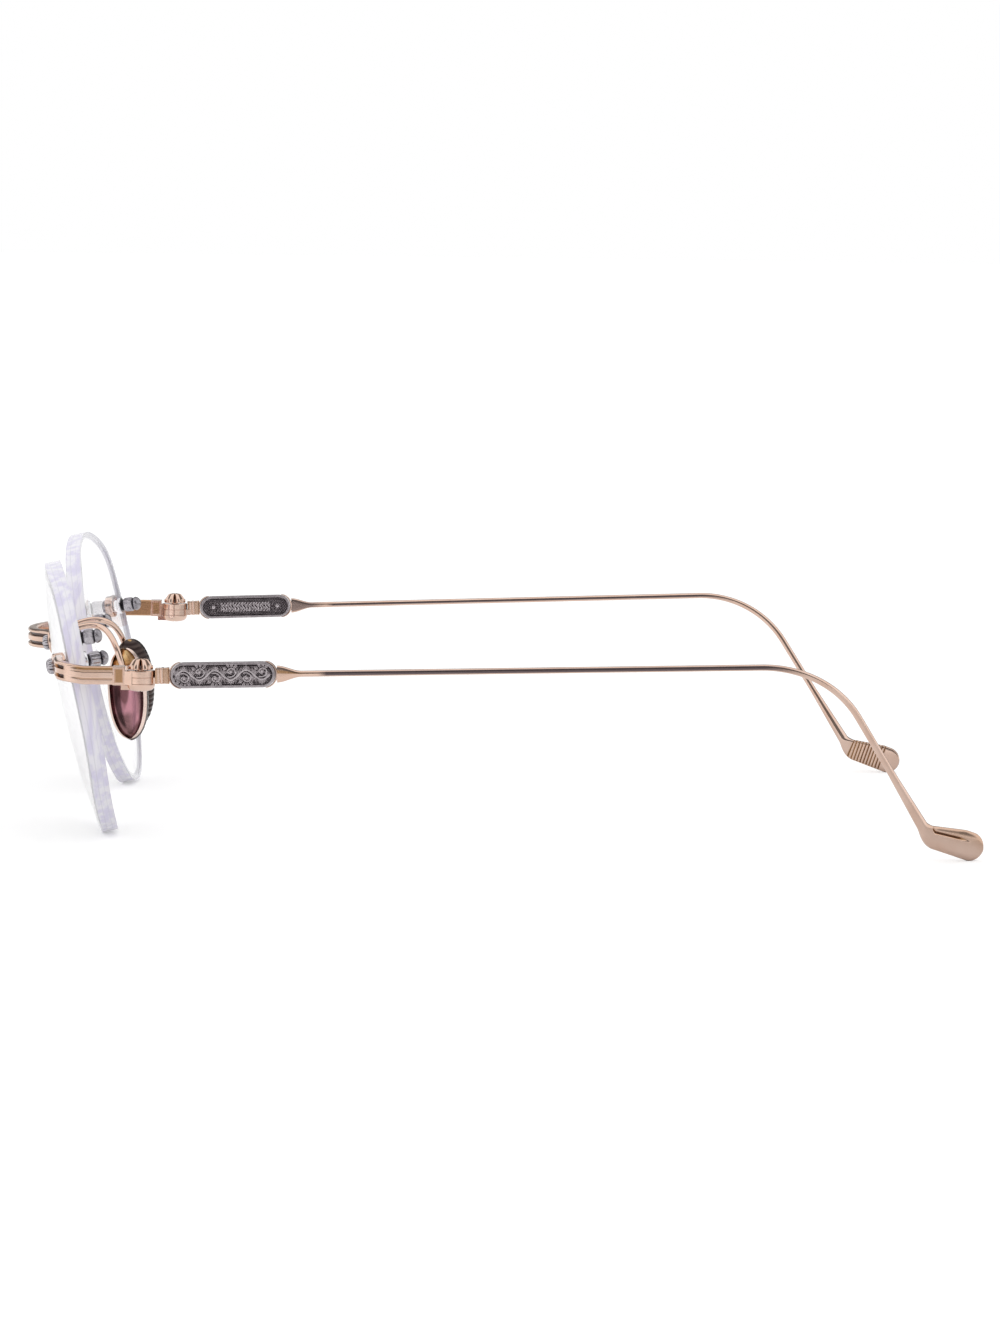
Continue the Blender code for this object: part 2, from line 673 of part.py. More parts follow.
def end_piece():
    first = TEMPORAL_SEAT @ Vector((0, 0, SEAT_GAP + PLATE_THICKNESS / 2))
    seat_side, seat_up, seat_outward = directions(TEMPORAL_SEAT)
    bar_height = HINGE_HEIGHT + END_SIDE_RISE
    corner_end = Vector((HINGE_X, -END_SIDE_START, bar_height))
    first_handle = first + seat_side * END_FRONT_RUN
    corner_handle = corner_end + Vector((0, -END_CORNER_RUN, END_CORNER_RISE))
    upright = Vector((0, 0, 1))
    stations = []
    for i in range(END_STEPS + 1):
        t = i / END_STEPS
        centre = bezier(first, first_handle, corner_handle, corner_end, t)
        ahead = bezier(first, first_handle, corner_handle, corner_end, t + 0.01) - centre
        up = blend(seat_up, upright, smooth(t)).normalized()
        outward = blend(seat_outward, ahead.cross(up).normalized(), min(1, 4 * t)).normalized()
        height = blend(END_FRONT_HEIGHT, END_SIDE_HEIGHT, smooth(t))
        groove = blend(FINE_LINE_DEPTH, GROOVE_DEPTH, smooth(min(1, 5 * t * (1 - t))))
        stations.append((centre, outward, up, height, END_BAR_THICKNESS, groove))
    block_end = END_BLOCK_START - END_BLOCK_LENGTH
    bar_end = Vector((HINGE_X, -END_BLOCK_START + 0.4 * END_BLOCK_LENGTH, bar_height))
    sideways = Vector((1, 0, 0))
    stations.append((bar_end, sideways, upright, END_SIDE_HEIGHT, END_BAR_THICKNESS, FINE_LINE_DEPTH))
    bar = loft("end_piece_left", bar_rings(stations), Matrix(), FRONT, ROSE_GOLD)

    disc = cylinder("end_plate", PLATE_RADIUS, SEAT_GAP, PLATE_TOP, TEMPORAL_SEAT, FRONT)
    combine(bar, disc, "UNION")
    half_width, half_height = END_BLOCK_WIDTH / 2, END_BLOCK_HEIGHT / 2
    block = cuboid("end_block", (HINGE_X - half_width, -END_BLOCK_START, bar_height - half_height),
                   (HINGE_X + half_width, -block_end, bar_height + half_height), Matrix(), FRONT)
    combine(bar, bevel(block, 0.0003), "UNION")
    axis = Matrix.Translation((HINGE_X, 0, HINGE_HEIGHT))
    half_barrel = BARREL_HEIGHT / 2
    barrel = cylinder("hinge_barrel", BARREL_RADIUS, -half_barrel, half_barrel, axis, FRONT,
                      sides=BARREL_SIDES)
    combine(bar, bevel(barrel, 0.00015, 1), "UNION")
    web_height = half_barrel - 0.0001
    web = cuboid("hinge_web", (-WEB_WIDTH / 2, -block_end - 0.3 * END_BLOCK_LENGTH, -web_height),
                 (WEB_WIDTH / 2, 0, web_height), axis, FRONT)
    combine(bar, web, "UNION")
    slot_half = KNUCKLE_HEIGHT / 2 + KNUCKLE_GAP
    slot_radius = max(BARREL_RADIUS, KNUCKLE_RADIUS) + SEAT_GAP
    slot = cylinder("knuckle_slot", slot_radius, -slot_half, slot_half, axis, FRONT, sides=BARREL_SIDES)
    combine(bar, slot, "DIFFERENCE")
    bore = cylinder("ear_bores", BORE_RADIUS, -BARREL_HEIGHT, BARREL_HEIGHT, axis, FRONT, sides=12)
    combine(bar, bore, "DIFFERENCE")
    recess_top = HINGE_NUT_RECESS - half_barrel
    recess = cylinder("nut_recess", HINGE_NUT_RADIUS + SEAT_GAP, -BARREL_HEIGHT, recess_top, axis, FRONT,
                      sides=FASTENER_SIDES)
    combine(bar, recess, "DIFFERENCE")
    plate_bore = cylinder("end_plate_bore", BORE_RADIUS, -PLATE_TOP, 2 * PLATE_TOP, TEMPORAL_SEAT, FRONT,
                          sides=12)
    combine(bar, plate_bore, "DIFFERENCE")


def hinge_fasteners():
    axis = Matrix.Translation((HINGE_X, 0, HINGE_HEIGHT))
    top = BARREL_HEIGHT / 2 + SEAT_GAP
    bottom = -BARREL_HEIGHT / 2 + HINGE_NUT_RECESS - SEAT_GAP
    nut_end = bottom - HINGE_NUT_HEIGHT
    shank_end = bottom - 0.3 * HINGE_NUT_HEIGHT
    cap = [(0, top + HINGE_CAP_HEIGHT, 0),
           (0.22 * HINGE_CAP_RADIUS, top + 0.97 * HINGE_CAP_HEIGHT, 0.5 * LOBE_DEPTH),
           (0.55 * HINGE_CAP_RADIUS, top + 0.82 * HINGE_CAP_HEIGHT, LOBE_DEPTH),
           (0.82 * HINGE_CAP_RADIUS, top + 0.58 * HINGE_CAP_HEIGHT, LOBE_DEPTH),
           (0.97 * HINGE_CAP_RADIUS, top + 0.30 * HINGE_CAP_HEIGHT, LOBE_DEPTH),
           (HINGE_CAP_RADIUS, top + 0.12 * HINGE_CAP_HEIGHT, 0.5 * LOBE_DEPTH),
           (0.97 * HINGE_CAP_RADIUS, top, 0.2 * LOBE_DEPTH),
           (SHANK_RADIUS, top, 0),
           (SHANK_RADIUS, shank_end, 0),
           (0, shank_end, 0)]
    lobed("hinge_screw_left", cap, HINGE_CAP_LOBES, axis, FRONT, ROSE_GOLD, 5 * HINGE_CAP_LOBES)

    bore_end = shank_end - SEAT_GAP
    nut = [(0, bore_end), (BORE_RADIUS, bore_end), (BORE_RADIUS, bottom), (HINGE_NUT_RADIUS, bottom),
           (HINGE_NUT_RADIUS, blend(bottom, nut_end, 0.35)),
           (0.8 * HINGE_NUT_RADIUS, blend(bottom, nut_end, 0.85)), (0, nut_end)]
    turned("hinge_nut_left", nut, axis, FRONT, ROSE_GOLD, FASTENER_SIDES)

    middle = KNUCKLE_HEIGHT / 2 + KNUCKLE_GAP / 2
    for name, level in (("upper", middle), ("lower", -middle)):
        high, low = level + WASHER_THICKNESS / 2, level - WASHER_THICKNESS / 2
        ring = [(BORE_RADIUS, high), (WASHER_RADIUS, high), (WASHER_RADIUS, low), (BORE_RADIUS, low)]
        turned("hinge_washer_" + name + "_left", ring, axis, FRONT, CLEAR_NYLON, FASTENER_SIDES, ring=True)


def plaque_outline(grow):
    """Long octagon round the plaque, grown outward all round."""
    half = PLAQUE_HEIGHT / 2 + grow
    front, back = PLAQUE_START - grow, PLAQUE_END + grow
    slope = math.hypot(PLAQUE_CHAMFER_RUN, PLAQUE_CHAMFER_RISE)
    run = PLAQUE_CHAMFER_RUN + grow * (1 - (slope - PLAQUE_CHAMFER_RUN) / PLAQUE_CHAMFER_RISE)
    rise = PLAQUE_CHAMFER_RISE + grow * (1 - (slope - PLAQUE_CHAMFER_RISE) / PLAQUE_CHAMFER_RUN)
    return [(front, half - rise), (front, rise - half), (front + run, -half), (back - run, -half),
            (back, rise - half), (back, half - rise), (back - run, half), (front + run, half)]


# Turns a plate's local X along the temple, its Y up and its thickness sideways
SIDEWAYS = Matrix(((0, 0, 1), (1, 0, 0), (0, 1, 0))).to_4x4()


def bezel(name, start, end):
    """Rim round one end of the plaque, between two distances along the temple."""
    frame = RUN_FRAME @ SIDEWAYS
    rim = plate(name, plaque_outline(BEZEL_RIM + SEAT_GAP), BEZEL_THICKNESS, frame, HINGE[1])
    tall = PLAQUE_HEIGHT
    keep = cuboid(name + "_span", (-tall, start, -tall), (tall, end, tall), RUN_FRAME, HINGE[1])
    combine(rim, keep, "INTERSECT")
    pocket = plate(name + "_pocket", plaque_outline(SEAT_GAP), PLAQUE_HEIGHT, frame, HINGE[1])
    combine(rim, pocket, "DIFFERENCE")
    return rim


def hinge_neck():
    axis = Matrix()
    half = KNUCKLE_HEIGHT / 2
    ring = [(BORE_RADIUS, half), (KNUCKLE_RADIUS, half), (KNUCKLE_RADIUS, -half), (BORE_RADIUS, -half)]
    knuckle = turned("hinge_neck_left", ring, axis, HINGE[1], ROSE_GOLD, BARREL_SIDES, ring=True)
    web_start = blend(BORE_RADIUS, KNUCKLE_RADIUS, 0.5)
    web_end = blend(NECK_START, COLLAR_START, 0.5)
    web = cuboid("knuckle_web", (-WEB_WIDTH / 2, web_start, -half), (WEB_WIDTH / 2, web_end, half),
                 axis, HINGE[1])
    combine(knuckle, web, "UNION")
    neck_end = PLAQUE_START - SEAT_GAP - BEZEL_RIM / 2
    side, tall = NECK_THICKNESS / 2, NECK_HEIGHT / 2
    neck = cuboid("neck_block", (-side, NECK_START, -tall), (side, neck_end, tall), RUN_FRAME, HINGE[1])
    combine(knuckle, bevel(neck, 0.0003, 1), "UNION")
    side, tall = side + COLLAR_PROUD, tall + COLLAR_PROUD
    collar = cuboid("neck_collar", (-side, COLLAR_START, -tall), (side, COLLAR_START + COLLAR_LENGTH, tall),
                    RUN_FRAME, HINGE[1])
    combine(knuckle, bevel(collar, COLLAR_PROUD / 2, 1), "UNION")
    combine(knuckle, bezel("front_bezel", PLAQUE_START - PLAQUE_HEIGHT, PLAQUE_START + BEZEL_GRIP), "UNION")


def plaque():
    frame = RUN_FRAME @ SIDEWAYS
    board = plate("plaque_left", plaque_outline(0), PLAQUE_THICKNESS, frame, HINGE[1], OLD_SILVER)
    field = plaque_outline(-PLAQUE_BORDER)
    deep = PLAQUE_THICKNESS / 2
    for name, side in (("outer", 1), ("inner", -1)):
        middle = frame @ Matrix.Translation((0, 0, side * deep))
        recess = plate("plaque_field_" + name, field, 2 * PLAQUE_FIELD_DEPTH, middle, HINGE[1])
        combine(board, recess, "DIFFERENCE")


def temple_wire():
    wire = loft("temple_wire_left", WIRE_RINGS, Matrix(), HINGE[1], ROSE_GOLD)
    combine(wire, bezel("rear_bezel", PLAQUE_END - BEZEL_GRIP, PLAQUE_END + PLAQUE_HEIGHT), "UNION")
    bm = bmesh.new()
    first = (TIP_FLARE + TIP_LENGTH - TIP_HEIGHT / 2 - (RIDGE_COUNT - 1) * RIDGE_PITCH) / 2
    inner_face = -TIP_THICKNESS / 2 + RIDGE_DEPTH - RIDGE_CUT_RADIUS
    for i in range(RIDGE_COUNT):
        spot = Matrix.Translation((inner_face, first + i * RIDGE_PITCH, 0))
        bmesh.ops.create_cone(bm, cap_ends=True, segments=8, radius1=RIDGE_CUT_RADIUS,
                              radius2=RIDGE_CUT_RADIUS, depth=2 * TIP_HEIGHT, matrix=spot)
    ridges = add_object("tip_ridges", mesh_from_bmesh("tip_ridges", bm), TIP_FRAME, HINGE[1])
    combine(wire, ridges, "DIFFERENCE")


def bridge_thickness(t):
    return blend(BRIDGE_THICKNESS, BRIDGE_FOOT_THICKNESS, smooth(t))


def bridge_station(t):
    """Centre, outward and up directions of the bridge bar, from its crown at 0 to its foot at 1."""
    crown = Vector((0, -BRIDGE_REACH + BRIDGE_THICKNESS / 2, NASAL_SEAT.translation.z - BRIDGE_BELOW_MOUNT))
    foot = NASAL_SEAT @ Vector((0, 0, SEAT_GAP + PLATE_THICKNESS / 2))
    seat_side, seat_up, seat_outward = directions(NASAL_SEAT)
    points = crown, crown + Vector((BRIDGE_CROWN_RUN, 0, 0)), foot - seat_side * BRIDGE_FOOT_RUN, foot
    centre = bezier(*points, t)
    if t == 0:
        return centre, Vector((0, -1, 0)), Vector((0, 0, 1))
    if t == 1:
        return centre, seat_outward, seat_up
    ahead = bezier(*points, t + 0.01) - bezier(*points, t - 0.01)
    up = blend(Vector((0, 0, 1)), seat_up, smooth(t)).normalized()
    return centre, ahead.cross(up).normalized(), up


def bridge():
    stations = []
    for i in range(BRIDGE_STEPS + 1):
        t = i / BRIDGE_STEPS
        stations.append((*bridge_station(t), BRIDGE_HEIGHT, bridge_thickness(t), GROOVE_DEPTH))
    half = loft("bridge", bar_rings(stations), Matrix(), FRONT, ROSE_GOLD)
    open_at_middle(half)
    mirror = half.modifiers.new("other_half", "MIRROR")
    mirror.merge_threshold = 0.000002
    for name, flip in (("left", Matrix()), ("right", FLIP_X)):
        seat = flip @ NASAL_SEAT @ flip
        disc = cylinder("bridge_plate_" + name, PLATE_RADIUS, SEAT_GAP, PLATE_TOP, seat, FRONT)
        combine(half, disc, "UNION")
        bore = cylinder("bridge_bore_" + name, BORE_RADIUS, -PLATE_TOP, 2 * PLATE_TOP, seat, FRONT, sides=12)
        combine(half, bore, "DIFFERENCE")


def open_at_middle(thing):
    """Takes away the cap on the mirror plane."""
    bm = bmesh.new()
    bm.from_mesh(thing.data)
    caps = [face for face in bm.faces if all(abs(vert.co.x) < 0.000001 for vert in face.verts)]
    bmesh.ops.delete(bm, geom=caps, context="FACES_ONLY")
    bm.to_mesh(thing.data)
    bm.free()


def pad_rings():
    """Crescent sections up the pad: a ridged skin side, a rim and a smooth hollow."""
    rows = 2 * round(PAD_LENGTH / PAD_RIDGE_PITCH)
    rings = []
    for i in range(1, rows):
        level = -1 + 2 * i / rows
        spread = (1 - abs(level) ** PAD_SQUARENESS) ** (1 / PAD_SQUARENESS)
        half_width = PAD_WIDTH / 2 * spread
        depth = PAD_DEPTH * spread ** 0.7
        wall = min(PAD_WALL, 0.4 * half_width)
        ridge = PAD_RIDGE_DEPTH / 2 * (1 if i % 2 else -1) * spread
        height = level * PAD_LENGTH / 2 - PAD_PIVOT_RISE
        ring = []
        for k in range(PAD_ARC_POINTS):
            turn = math.pi * k / (PAD_ARC_POINTS - 1)
            swell = math.sin(turn)
            ring.append(Vector((-(depth + ridge) * swell, half_width * math.cos(turn), height)))
        for k in reversed(range(PAD_ARC_POINTS)):
            turn = math.pi * k / (PAD_ARC_POINTS - 1)
            hollow = max(0, depth - PAD_WALL) * math.sin(turn)
            ring.append(Vector((wall * 0.4 - hollow, (half_width - wall) * math.cos(turn), height)))
        rings.append(ring)
    return rings


def nose_pad():
    pad = loft("nose_pad_left", pad_rings(), PAD_TURN, PAD_AXIS, ROSE_GOLD)
    side, tall = LUG_THICKNESS / 2, LUG_HEIGHT / 2
    lug_end = BOX_DEPTH / 2 - BOX_WALL - BOX_CLEARANCE
    lug = cuboid("pad_lug", (PAD_WALL / 2 - PAD_DEPTH, -side, -tall), (lug_end, side, tall),
                 PAD_TURN, PAD_AXIS)
    combine(pad, bevel(lug, 0.0002, 1), "UNION")
    across = PAD_TURN @ Matrix.Rotation(math.pi / 2, 4, "X")
    bore_radius = PAD_SCREW_RADIUS + BOX_CLEARANCE
    bore = cylinder("lug_bore", bore_radius, -LUG_THICKNESS, LUG_THICKNESS, across, PAD_AXIS, sides=12)
    combine(pad, bore, "DIFFERENCE")


def nose_pad_screw():
    half_box = LUG_THICKNESS / 2 + BOX_CLEARANCE + BOX_WALL
    top = half_box + BOX_CLEARANCE
    profile = [(0, top + PAD_SCREW_HEAD_HEIGHT), (0.7 * PAD_SCREW_HEAD_RADIUS, top + PAD_SCREW_HEAD_HEIGHT),
               (PAD_SCREW_HEAD_RADIUS, top + 0.5 * PAD_SCREW_HEAD_HEIGHT), (PAD_SCREW_HEAD_RADIUS, top),
               (PAD_SCREW_RADIUS, top), (PAD_SCREW_RADIUS, -half_box), (0, -half_box)]
    across = PAD_FRAME @ Matrix.Rotation(math.pi / 2, 4, "X")
    turned("nose_pad_screw_left", profile, across, FRONT, ROSE_GOLD, FASTENER_SIDES)


def nose_pad_arm():
    bar_centre, bar_outward, _ = bridge_station(ARM_ROOT_ALONG_BRIDGE)
    root = bar_centre - bar_outward * (bridge_thickness(ARM_ROOT_ALONG_BRIDGE) / 2 + SOLDER_GAP)
    crest = Vector((ARM_CREST_SIDE, -ARM_CREST_BEHIND, NASAL_SEAT.translation.z + ARM_CREST_ABOVE_MOUNT))
    end = PAD_FRAME @ Vector((BOX_DEPTH / 2 - BOX_WALL / 2, 0, BOX_HEIGHT / 2 - BOX_WALL / 2))
    curve = bpy.data.curves.new("arm_wire", "CURVE")
    curve.dimensions = "3D"
    curve.resolution_u = 5
    curve.bevel_depth = ARM_RADIUS
    curve.bevel_resolution = 2
    curve.use_fill_caps = True
    spline = curve.splines.new("BEZIER")
    spline.bezier_points.add(2)
    backward, down = Vector((0, 1, 0)), -(PAD_FRAME.to_3x3() @ Vector((ARM_LEAN, 0, 1))).normalized()
    places = ((root, -bar_outward * ARM_PULL), (crest, backward * ARM_PULL), (end, down * ARM_END_PULL))
    for point, (place, pull) in zip(spline.bezier_points, places):
        point.co = place
        point.handle_left = place - pull
        point.handle_right = place + pull
    wire = solid_from_curve(add_object("arm_wire", curve, Matrix(), FRONT))

    side = LUG_THICKNESS / 2 + BOX_CLEARANCE
    deep, tall = BOX_DEPTH / 2, BOX_HEIGHT / 2
    box = cuboid("nose_pad_arm_left", (-deep, -side - BOX_WALL, -tall), (deep, side + BOX_WALL, tall),
                 PAD_FRAME, FRONT, ROSE_GOLD)
    bevel(box, 0.0002, 1)
    combine(box, wire, "UNION")
    slot = cuboid("pad_box_slot", (-2 * deep, -side, -2 * tall), (deep - BOX_WALL, side, 2 * tall),
                  PAD_FRAME, FRONT)
    combine(box, slot, "DIFFERENCE")
    across = PAD_FRAME @ Matrix.Rotation(math.pi / 2, 4, "X")
    bore_radius = PAD_SCREW_RADIUS + BOX_CLEARANCE
    bore = cylinder("pad_box_bore", bore_radius, -PAD_WIDTH, PAD_WIDTH, across, FRONT, sides=12)
    combine(box, bore, "DIFFERENCE")


def mirror_to_right():
    """Makes each left piece's mirror image, on the parent across the middle."""
    across = {FRONT: FRONT, HINGE[1]: HINGE[-1], PAD_AXIS: RIGHT_PAD_AXIS}
    bpy.context.view_layer.update()
    depsgraph = bpy.context.evaluated_depsgraph_get()
    for left in [thing for thing in PARTS.objects if thing.name.endswith("_left") and thing.type == "MESH"]:
        mesh = bpy.data.meshes.new_from_object(left.evaluated_get(depsgraph))
        mesh.transform(FLIP_X)
        mesh.flip_normals()
        name = left.name.replace("_left", "_right")
        add_object(name, mesh, FLIP_X @ left.matrix_local @ FLIP_X, across[left.parent])


lens()
lens_mount("temporal", TEMPORAL_SEAT)
lens_mount("nasal", NASAL_SEAT)
end_piece()
hinge_fasteners()
hinge_neck()
plaque()
temple_wire()
nose_pad_arm()
nose_pad_screw()
nose_pad()
mirror_to_right()
bridge()

print("hinge axes", [tuple(round(c, 5) for c in empty.location) for empty in HINGE.values()])
print("pad axes", [tuple(round(c, 5) for c in empty.location) for empty in (PAD_AXIS, RIGHT_PAD_AXIS)])
print("left pad axis direction", tuple(round(c, 5) for c in PAD_TURN.to_3x3() @ Vector((0, 1, 0))))
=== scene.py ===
import json
import math

import bmesh
import bpy
import numpy as np
from mathutils import Matrix, Vector


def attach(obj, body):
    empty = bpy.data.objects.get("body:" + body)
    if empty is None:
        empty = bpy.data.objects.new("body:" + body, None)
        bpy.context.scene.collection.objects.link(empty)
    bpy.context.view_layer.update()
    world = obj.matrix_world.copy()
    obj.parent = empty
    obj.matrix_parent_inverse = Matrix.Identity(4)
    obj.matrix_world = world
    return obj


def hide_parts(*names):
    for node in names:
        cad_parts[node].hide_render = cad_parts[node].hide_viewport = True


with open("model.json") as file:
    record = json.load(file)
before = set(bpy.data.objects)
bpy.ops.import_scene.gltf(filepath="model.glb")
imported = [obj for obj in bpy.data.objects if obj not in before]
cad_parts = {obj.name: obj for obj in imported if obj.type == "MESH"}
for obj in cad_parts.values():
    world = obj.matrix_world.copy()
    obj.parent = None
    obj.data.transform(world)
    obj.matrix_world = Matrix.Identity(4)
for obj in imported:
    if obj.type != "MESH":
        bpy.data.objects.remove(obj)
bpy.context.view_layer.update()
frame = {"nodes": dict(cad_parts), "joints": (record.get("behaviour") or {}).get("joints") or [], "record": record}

# Sizes that the finer pieces share with the CAD source, in metres
HINGE_AT = Vector({joint["name"]: joint for joint in frame["joints"]}["temple_left_fold"]["pos_m"])
SEAT_GAP = 0.00015
SOLDER_GAP = 0.00012
LENS_WIDTH = 0.0490
LENS_HEIGHT = 0.0439
LENS_UPPER_FULLNESS = 0.45
LENS_LOWER_FULLNESS = -0.30
LENS_THICKNESS = 0.0027
LENS_BASE_RADIUS = 0.122
LENS_TILT = math.radians(12.4)
LENS_WRAP = math.radians(4.4)
LENS_SPACING = 0.0230
LENS_AHEAD = 0.01415
LENS_HOLE_RADIUS = 0.00105
TEMPORAL_HOLE_INSET = 0.0036
NASAL_HOLE_INSET = 0.0036
TEMPORAL_HOLE_RISE = 0.0071
NASAL_HOLE_RISE = 0.0079
SHANK_RADIUS = 0.0005
ROSETTE_RADIUS = 0.00125
ROSETTE_HEIGHT = 0.0011
PLATE_TOP = 0.00185
TEMPLE_SPLAY = math.radians(3.8)
TEMPLE_RISE = math.radians(1.7)
TEMPLE_LIFT = 0.00065
PLAQUE_START = 0.0046
PLAQUE_LENGTH = 0.0161
PLAQUE_HEIGHT = 0.00395
PLAQUE_THICKNESS = 0.0015
PLAQUE_BORDER = 0.00038
BEZEL_RIM = 0.0002
BEZEL_THICKNESS = 0.00115
TAPER_LENGTH = 0.0037
TAPER_HEIGHT = 0.0026
WIRE_RADIUS = 0.000475
WIRE_HOOK_RADIUS = 0.00055
WIRE_ELBOW_RADIUS = 0.00088
BEND_START = 0.0950
BEND_RADIUS = 0.0185
LEG_PITCH = math.radians(-55)
LEG_INWARD = math.radians(27)
ELBOW_RADIUS = 0.0040
TIP_PITCH = math.radians(-18.5)
TIP_INWARD = math.radians(17)
TIP_FLARE = 0.0006
TIP_LENGTH = 0.0088
TIP_HEIGHT = 0.0045
TIP_THICKNESS = 0.0011
TIP_SQUARENESS = 6.0
RIDGE_COUNT = 11
RIDGE_PITCH = 0.00058
RIDGE_DEPTH = 0.00012

FLIP_X = Matrix.Diagonal((-1, 1, 1, 1))
FRONT = Matrix.Translation((0, HINGE_AT.y, 0))
HINGE = Matrix.Translation(HINGE_AT)


# Camera, fitted to the photograph
CAMERA_YAW, CAMERA_PITCH, CAMERA_ROLL = 0.0267527, 0.0888142, 0.0126473
CAMERA_PLACE = (0.833228, 0.034537 + HINGE_AT.y, 0.098186)
CAMERA_LENS = 135.396


def add_camera():
    level = math.cos(CAMERA_PITCH)
    ahead = Vector((-math.cos(CAMERA_YAW) * level, math.sin(CAMERA_YAW) * level, -math.sin(CAMERA_PITCH)))
    right = ahead.cross(Vector((0, 0, 1))).normalized()
    up = right.cross(ahead)
    rolled_right = right * math.cos(CAMERA_ROLL) + up * math.sin(CAMERA_ROLL)
    rolled_up = up * math.cos(CAMERA_ROLL) - right * math.sin(CAMERA_ROLL)
    placed = Matrix((rolled_right, rolled_up, -ahead)).transposed().to_4x4()
    placed.translation = CAMERA_PLACE
    camera = bpy.data.objects.new("camera", bpy.data.cameras.new("camera"))
    camera.data.lens = CAMERA_LENS
    camera.data.sensor_width = 36
    camera.data.clip_start = 0.01
    camera.data.clip_end = 50
    camera.matrix_world = placed
    bpy.context.scene.collection.objects.link(camera)
    bpy.context.scene.camera = camera


add_camera()


# Node helpers for materials
class Nodes:
    """Builds the nodes of one material or world."""

    def __init__(self, tree):
        self.tree = tree

    def add(self, kind, **values):
        node = self.tree.nodes.new(kind)
        for key, value in values.items():
            setattr(node, key, value)
        return node

    def link(self, output, target):
        self.tree.links.new(output, target)

    def put(self, target, value):
        if isinstance(value, bpy.types.NodeSocket):
            self.link(value, target)
        else:
            target.default_value = value

    def fill(self, node, **sockets):
        """Links or sets inputs by name. A low line in a key stands for a space."""
        for key, value in sockets.items():
            self.put(node.inputs[key.replace("_", " ")], value)

    def math(self, operation, a, b=0.0):
        node = self.add("ShaderNodeMath", operation=operation)
        for target, value in zip(node.inputs, (a, b)):
            self.put(target, value)
        return node.outputs[0]

    def mix(self, factor, a, b):
        node = self.add("ShaderNodeMix", data_type="RGBA")
        self.put(node.inputs["Factor"], factor)
        for target, value in ((node.inputs[6], a), (node.inputs[7], b)):
            self.put(target, (*value, 1.0) if isinstance(value, tuple) else value)
        return node.outputs[2]

    def spread(self, value, low, high, to_low=0.0, to_high=1.0):
        node = self.add("ShaderNodeMapRange")
        for target, number in zip(node.inputs, (value, low, high, to_low, to_high)):
            self.put(target, number)
        return node.outputs[0]

    def noise(self, vector, scale, detail=3.0, roughness=0.5):
        node = self.add("ShaderNodeTexNoise")
        self.fill(node, Vector=vector, Scale=scale, Detail=detail, Roughness=roughness)
        return node.outputs["Fac"]

    def stretched(self, vector, scale):
        node = self.add("ShaderNodeMapping")
        self.fill(node, Vector=vector, Scale=scale)
        return node.outputs["Vector"]

    def bump(self, height, distance, strength):
        node = self.add("ShaderNodeBump")
        self.fill(node, Height=height, Distance=distance, Strength=strength)
        return node.outputs["Normal"]

    def attribute(self, name):
        return self.add("ShaderNodeAttribute", attribute_name=name).outputs["Fac"]

    def split(self, vector):
        node = self.add("ShaderNodeSeparateXYZ")
        self.link(vector, node.inputs[0])
        return node.outputs


def new_material(name):
    material = bpy.data.materials.new(name)
    material.use_nodes = True
    nodes = Nodes(material.node_tree)
    shader = material.node_tree.nodes["Principled BSDF"]
    place = nodes.add("ShaderNodeTexCoord").outputs["Object"]
    return material, nodes, shader, place


def rose_gold():
    """Polished plate with a slow drift of tone and faint hairlines. Its hollows get a painted amber reflection and
    then painted brown shade, and a hollow below 0 stands for a painted grey-brown dark reflection."""
    material, nodes, shader, place = new_material("rose_gold_polished")
    tone, deep = (0.84, 0.62, 0.515), (0.77, 0.535, 0.425)
    painted_amber_reflection, brown, wire_dark_reflection = (0.48, 0.26, 0.115), (0.118, 0.082, 0.076), (0.125, 0.098, 0.108)
    hollow = nodes.attribute("cavity")
    drift = nodes.noise(place, 260, 2)
    hairline = nodes.noise(nodes.stretched(place, (9000, 900, 9000)), 1.0, 2)
    colour = nodes.mix(nodes.spread(drift, 0.35, 0.75), tone, deep)
    # Painted amber reflection and painted brown shade in hollows; below 0, the wire's painted dark reflection
    for start, end, painted_tone in ((0.0, 0.6, painted_amber_reflection), (0.6, 1.0, brown), (0.0, -1.0, wire_dark_reflection)):
        colour = nodes.mix(nodes.spread(hollow, start, end), colour, painted_tone)
    dull = nodes.math("MULTIPLY", nodes.math("ABSOLUTE", hollow), 0.25)
    rough = nodes.math("ADD", nodes.spread(hairline, 0.3, 0.8, 0.09, 0.17), dull)
    normal = nodes.bump(hairline, 0.000004, 0.5)
    nodes.fill(shader, Base_Color=colour, Metallic=1.0, Roughness=rough, Normal=normal)
    return material


def old_silver(name, light, dark):
    """Oxidised silver, tarnished in patches and hollows. A hollow below 0 is a rubbed, bright skin."""
    material, nodes, shader, place = new_material(name)
    rubbed, tarnish = (0.90, 0.89, 0.92), (0.03, 0.027, 0.032)
    hollow = nodes.attribute("cavity")
    patch = nodes.noise(place, 900, 4, 0.6)
    grain = nodes.noise(place, 9000, 3, 0.6)
    colour = nodes.mix(nodes.spread(patch, 0.46, 0.70), light, dark)
    colour = nodes.mix(nodes.spread(hollow, -1.0, 0.0), rubbed, colour)
    colour = nodes.mix(hollow, colour, tarnish)
    rough = nodes.spread(grain, 0.3, 0.7, 0.18, 0.34)
    normal = nodes.bump(grain, 0.00001, 0.6)
    nodes.fill(shader, Base_Color=colour, Metallic=1.0, Roughness=rough, Normal=normal)
    return material


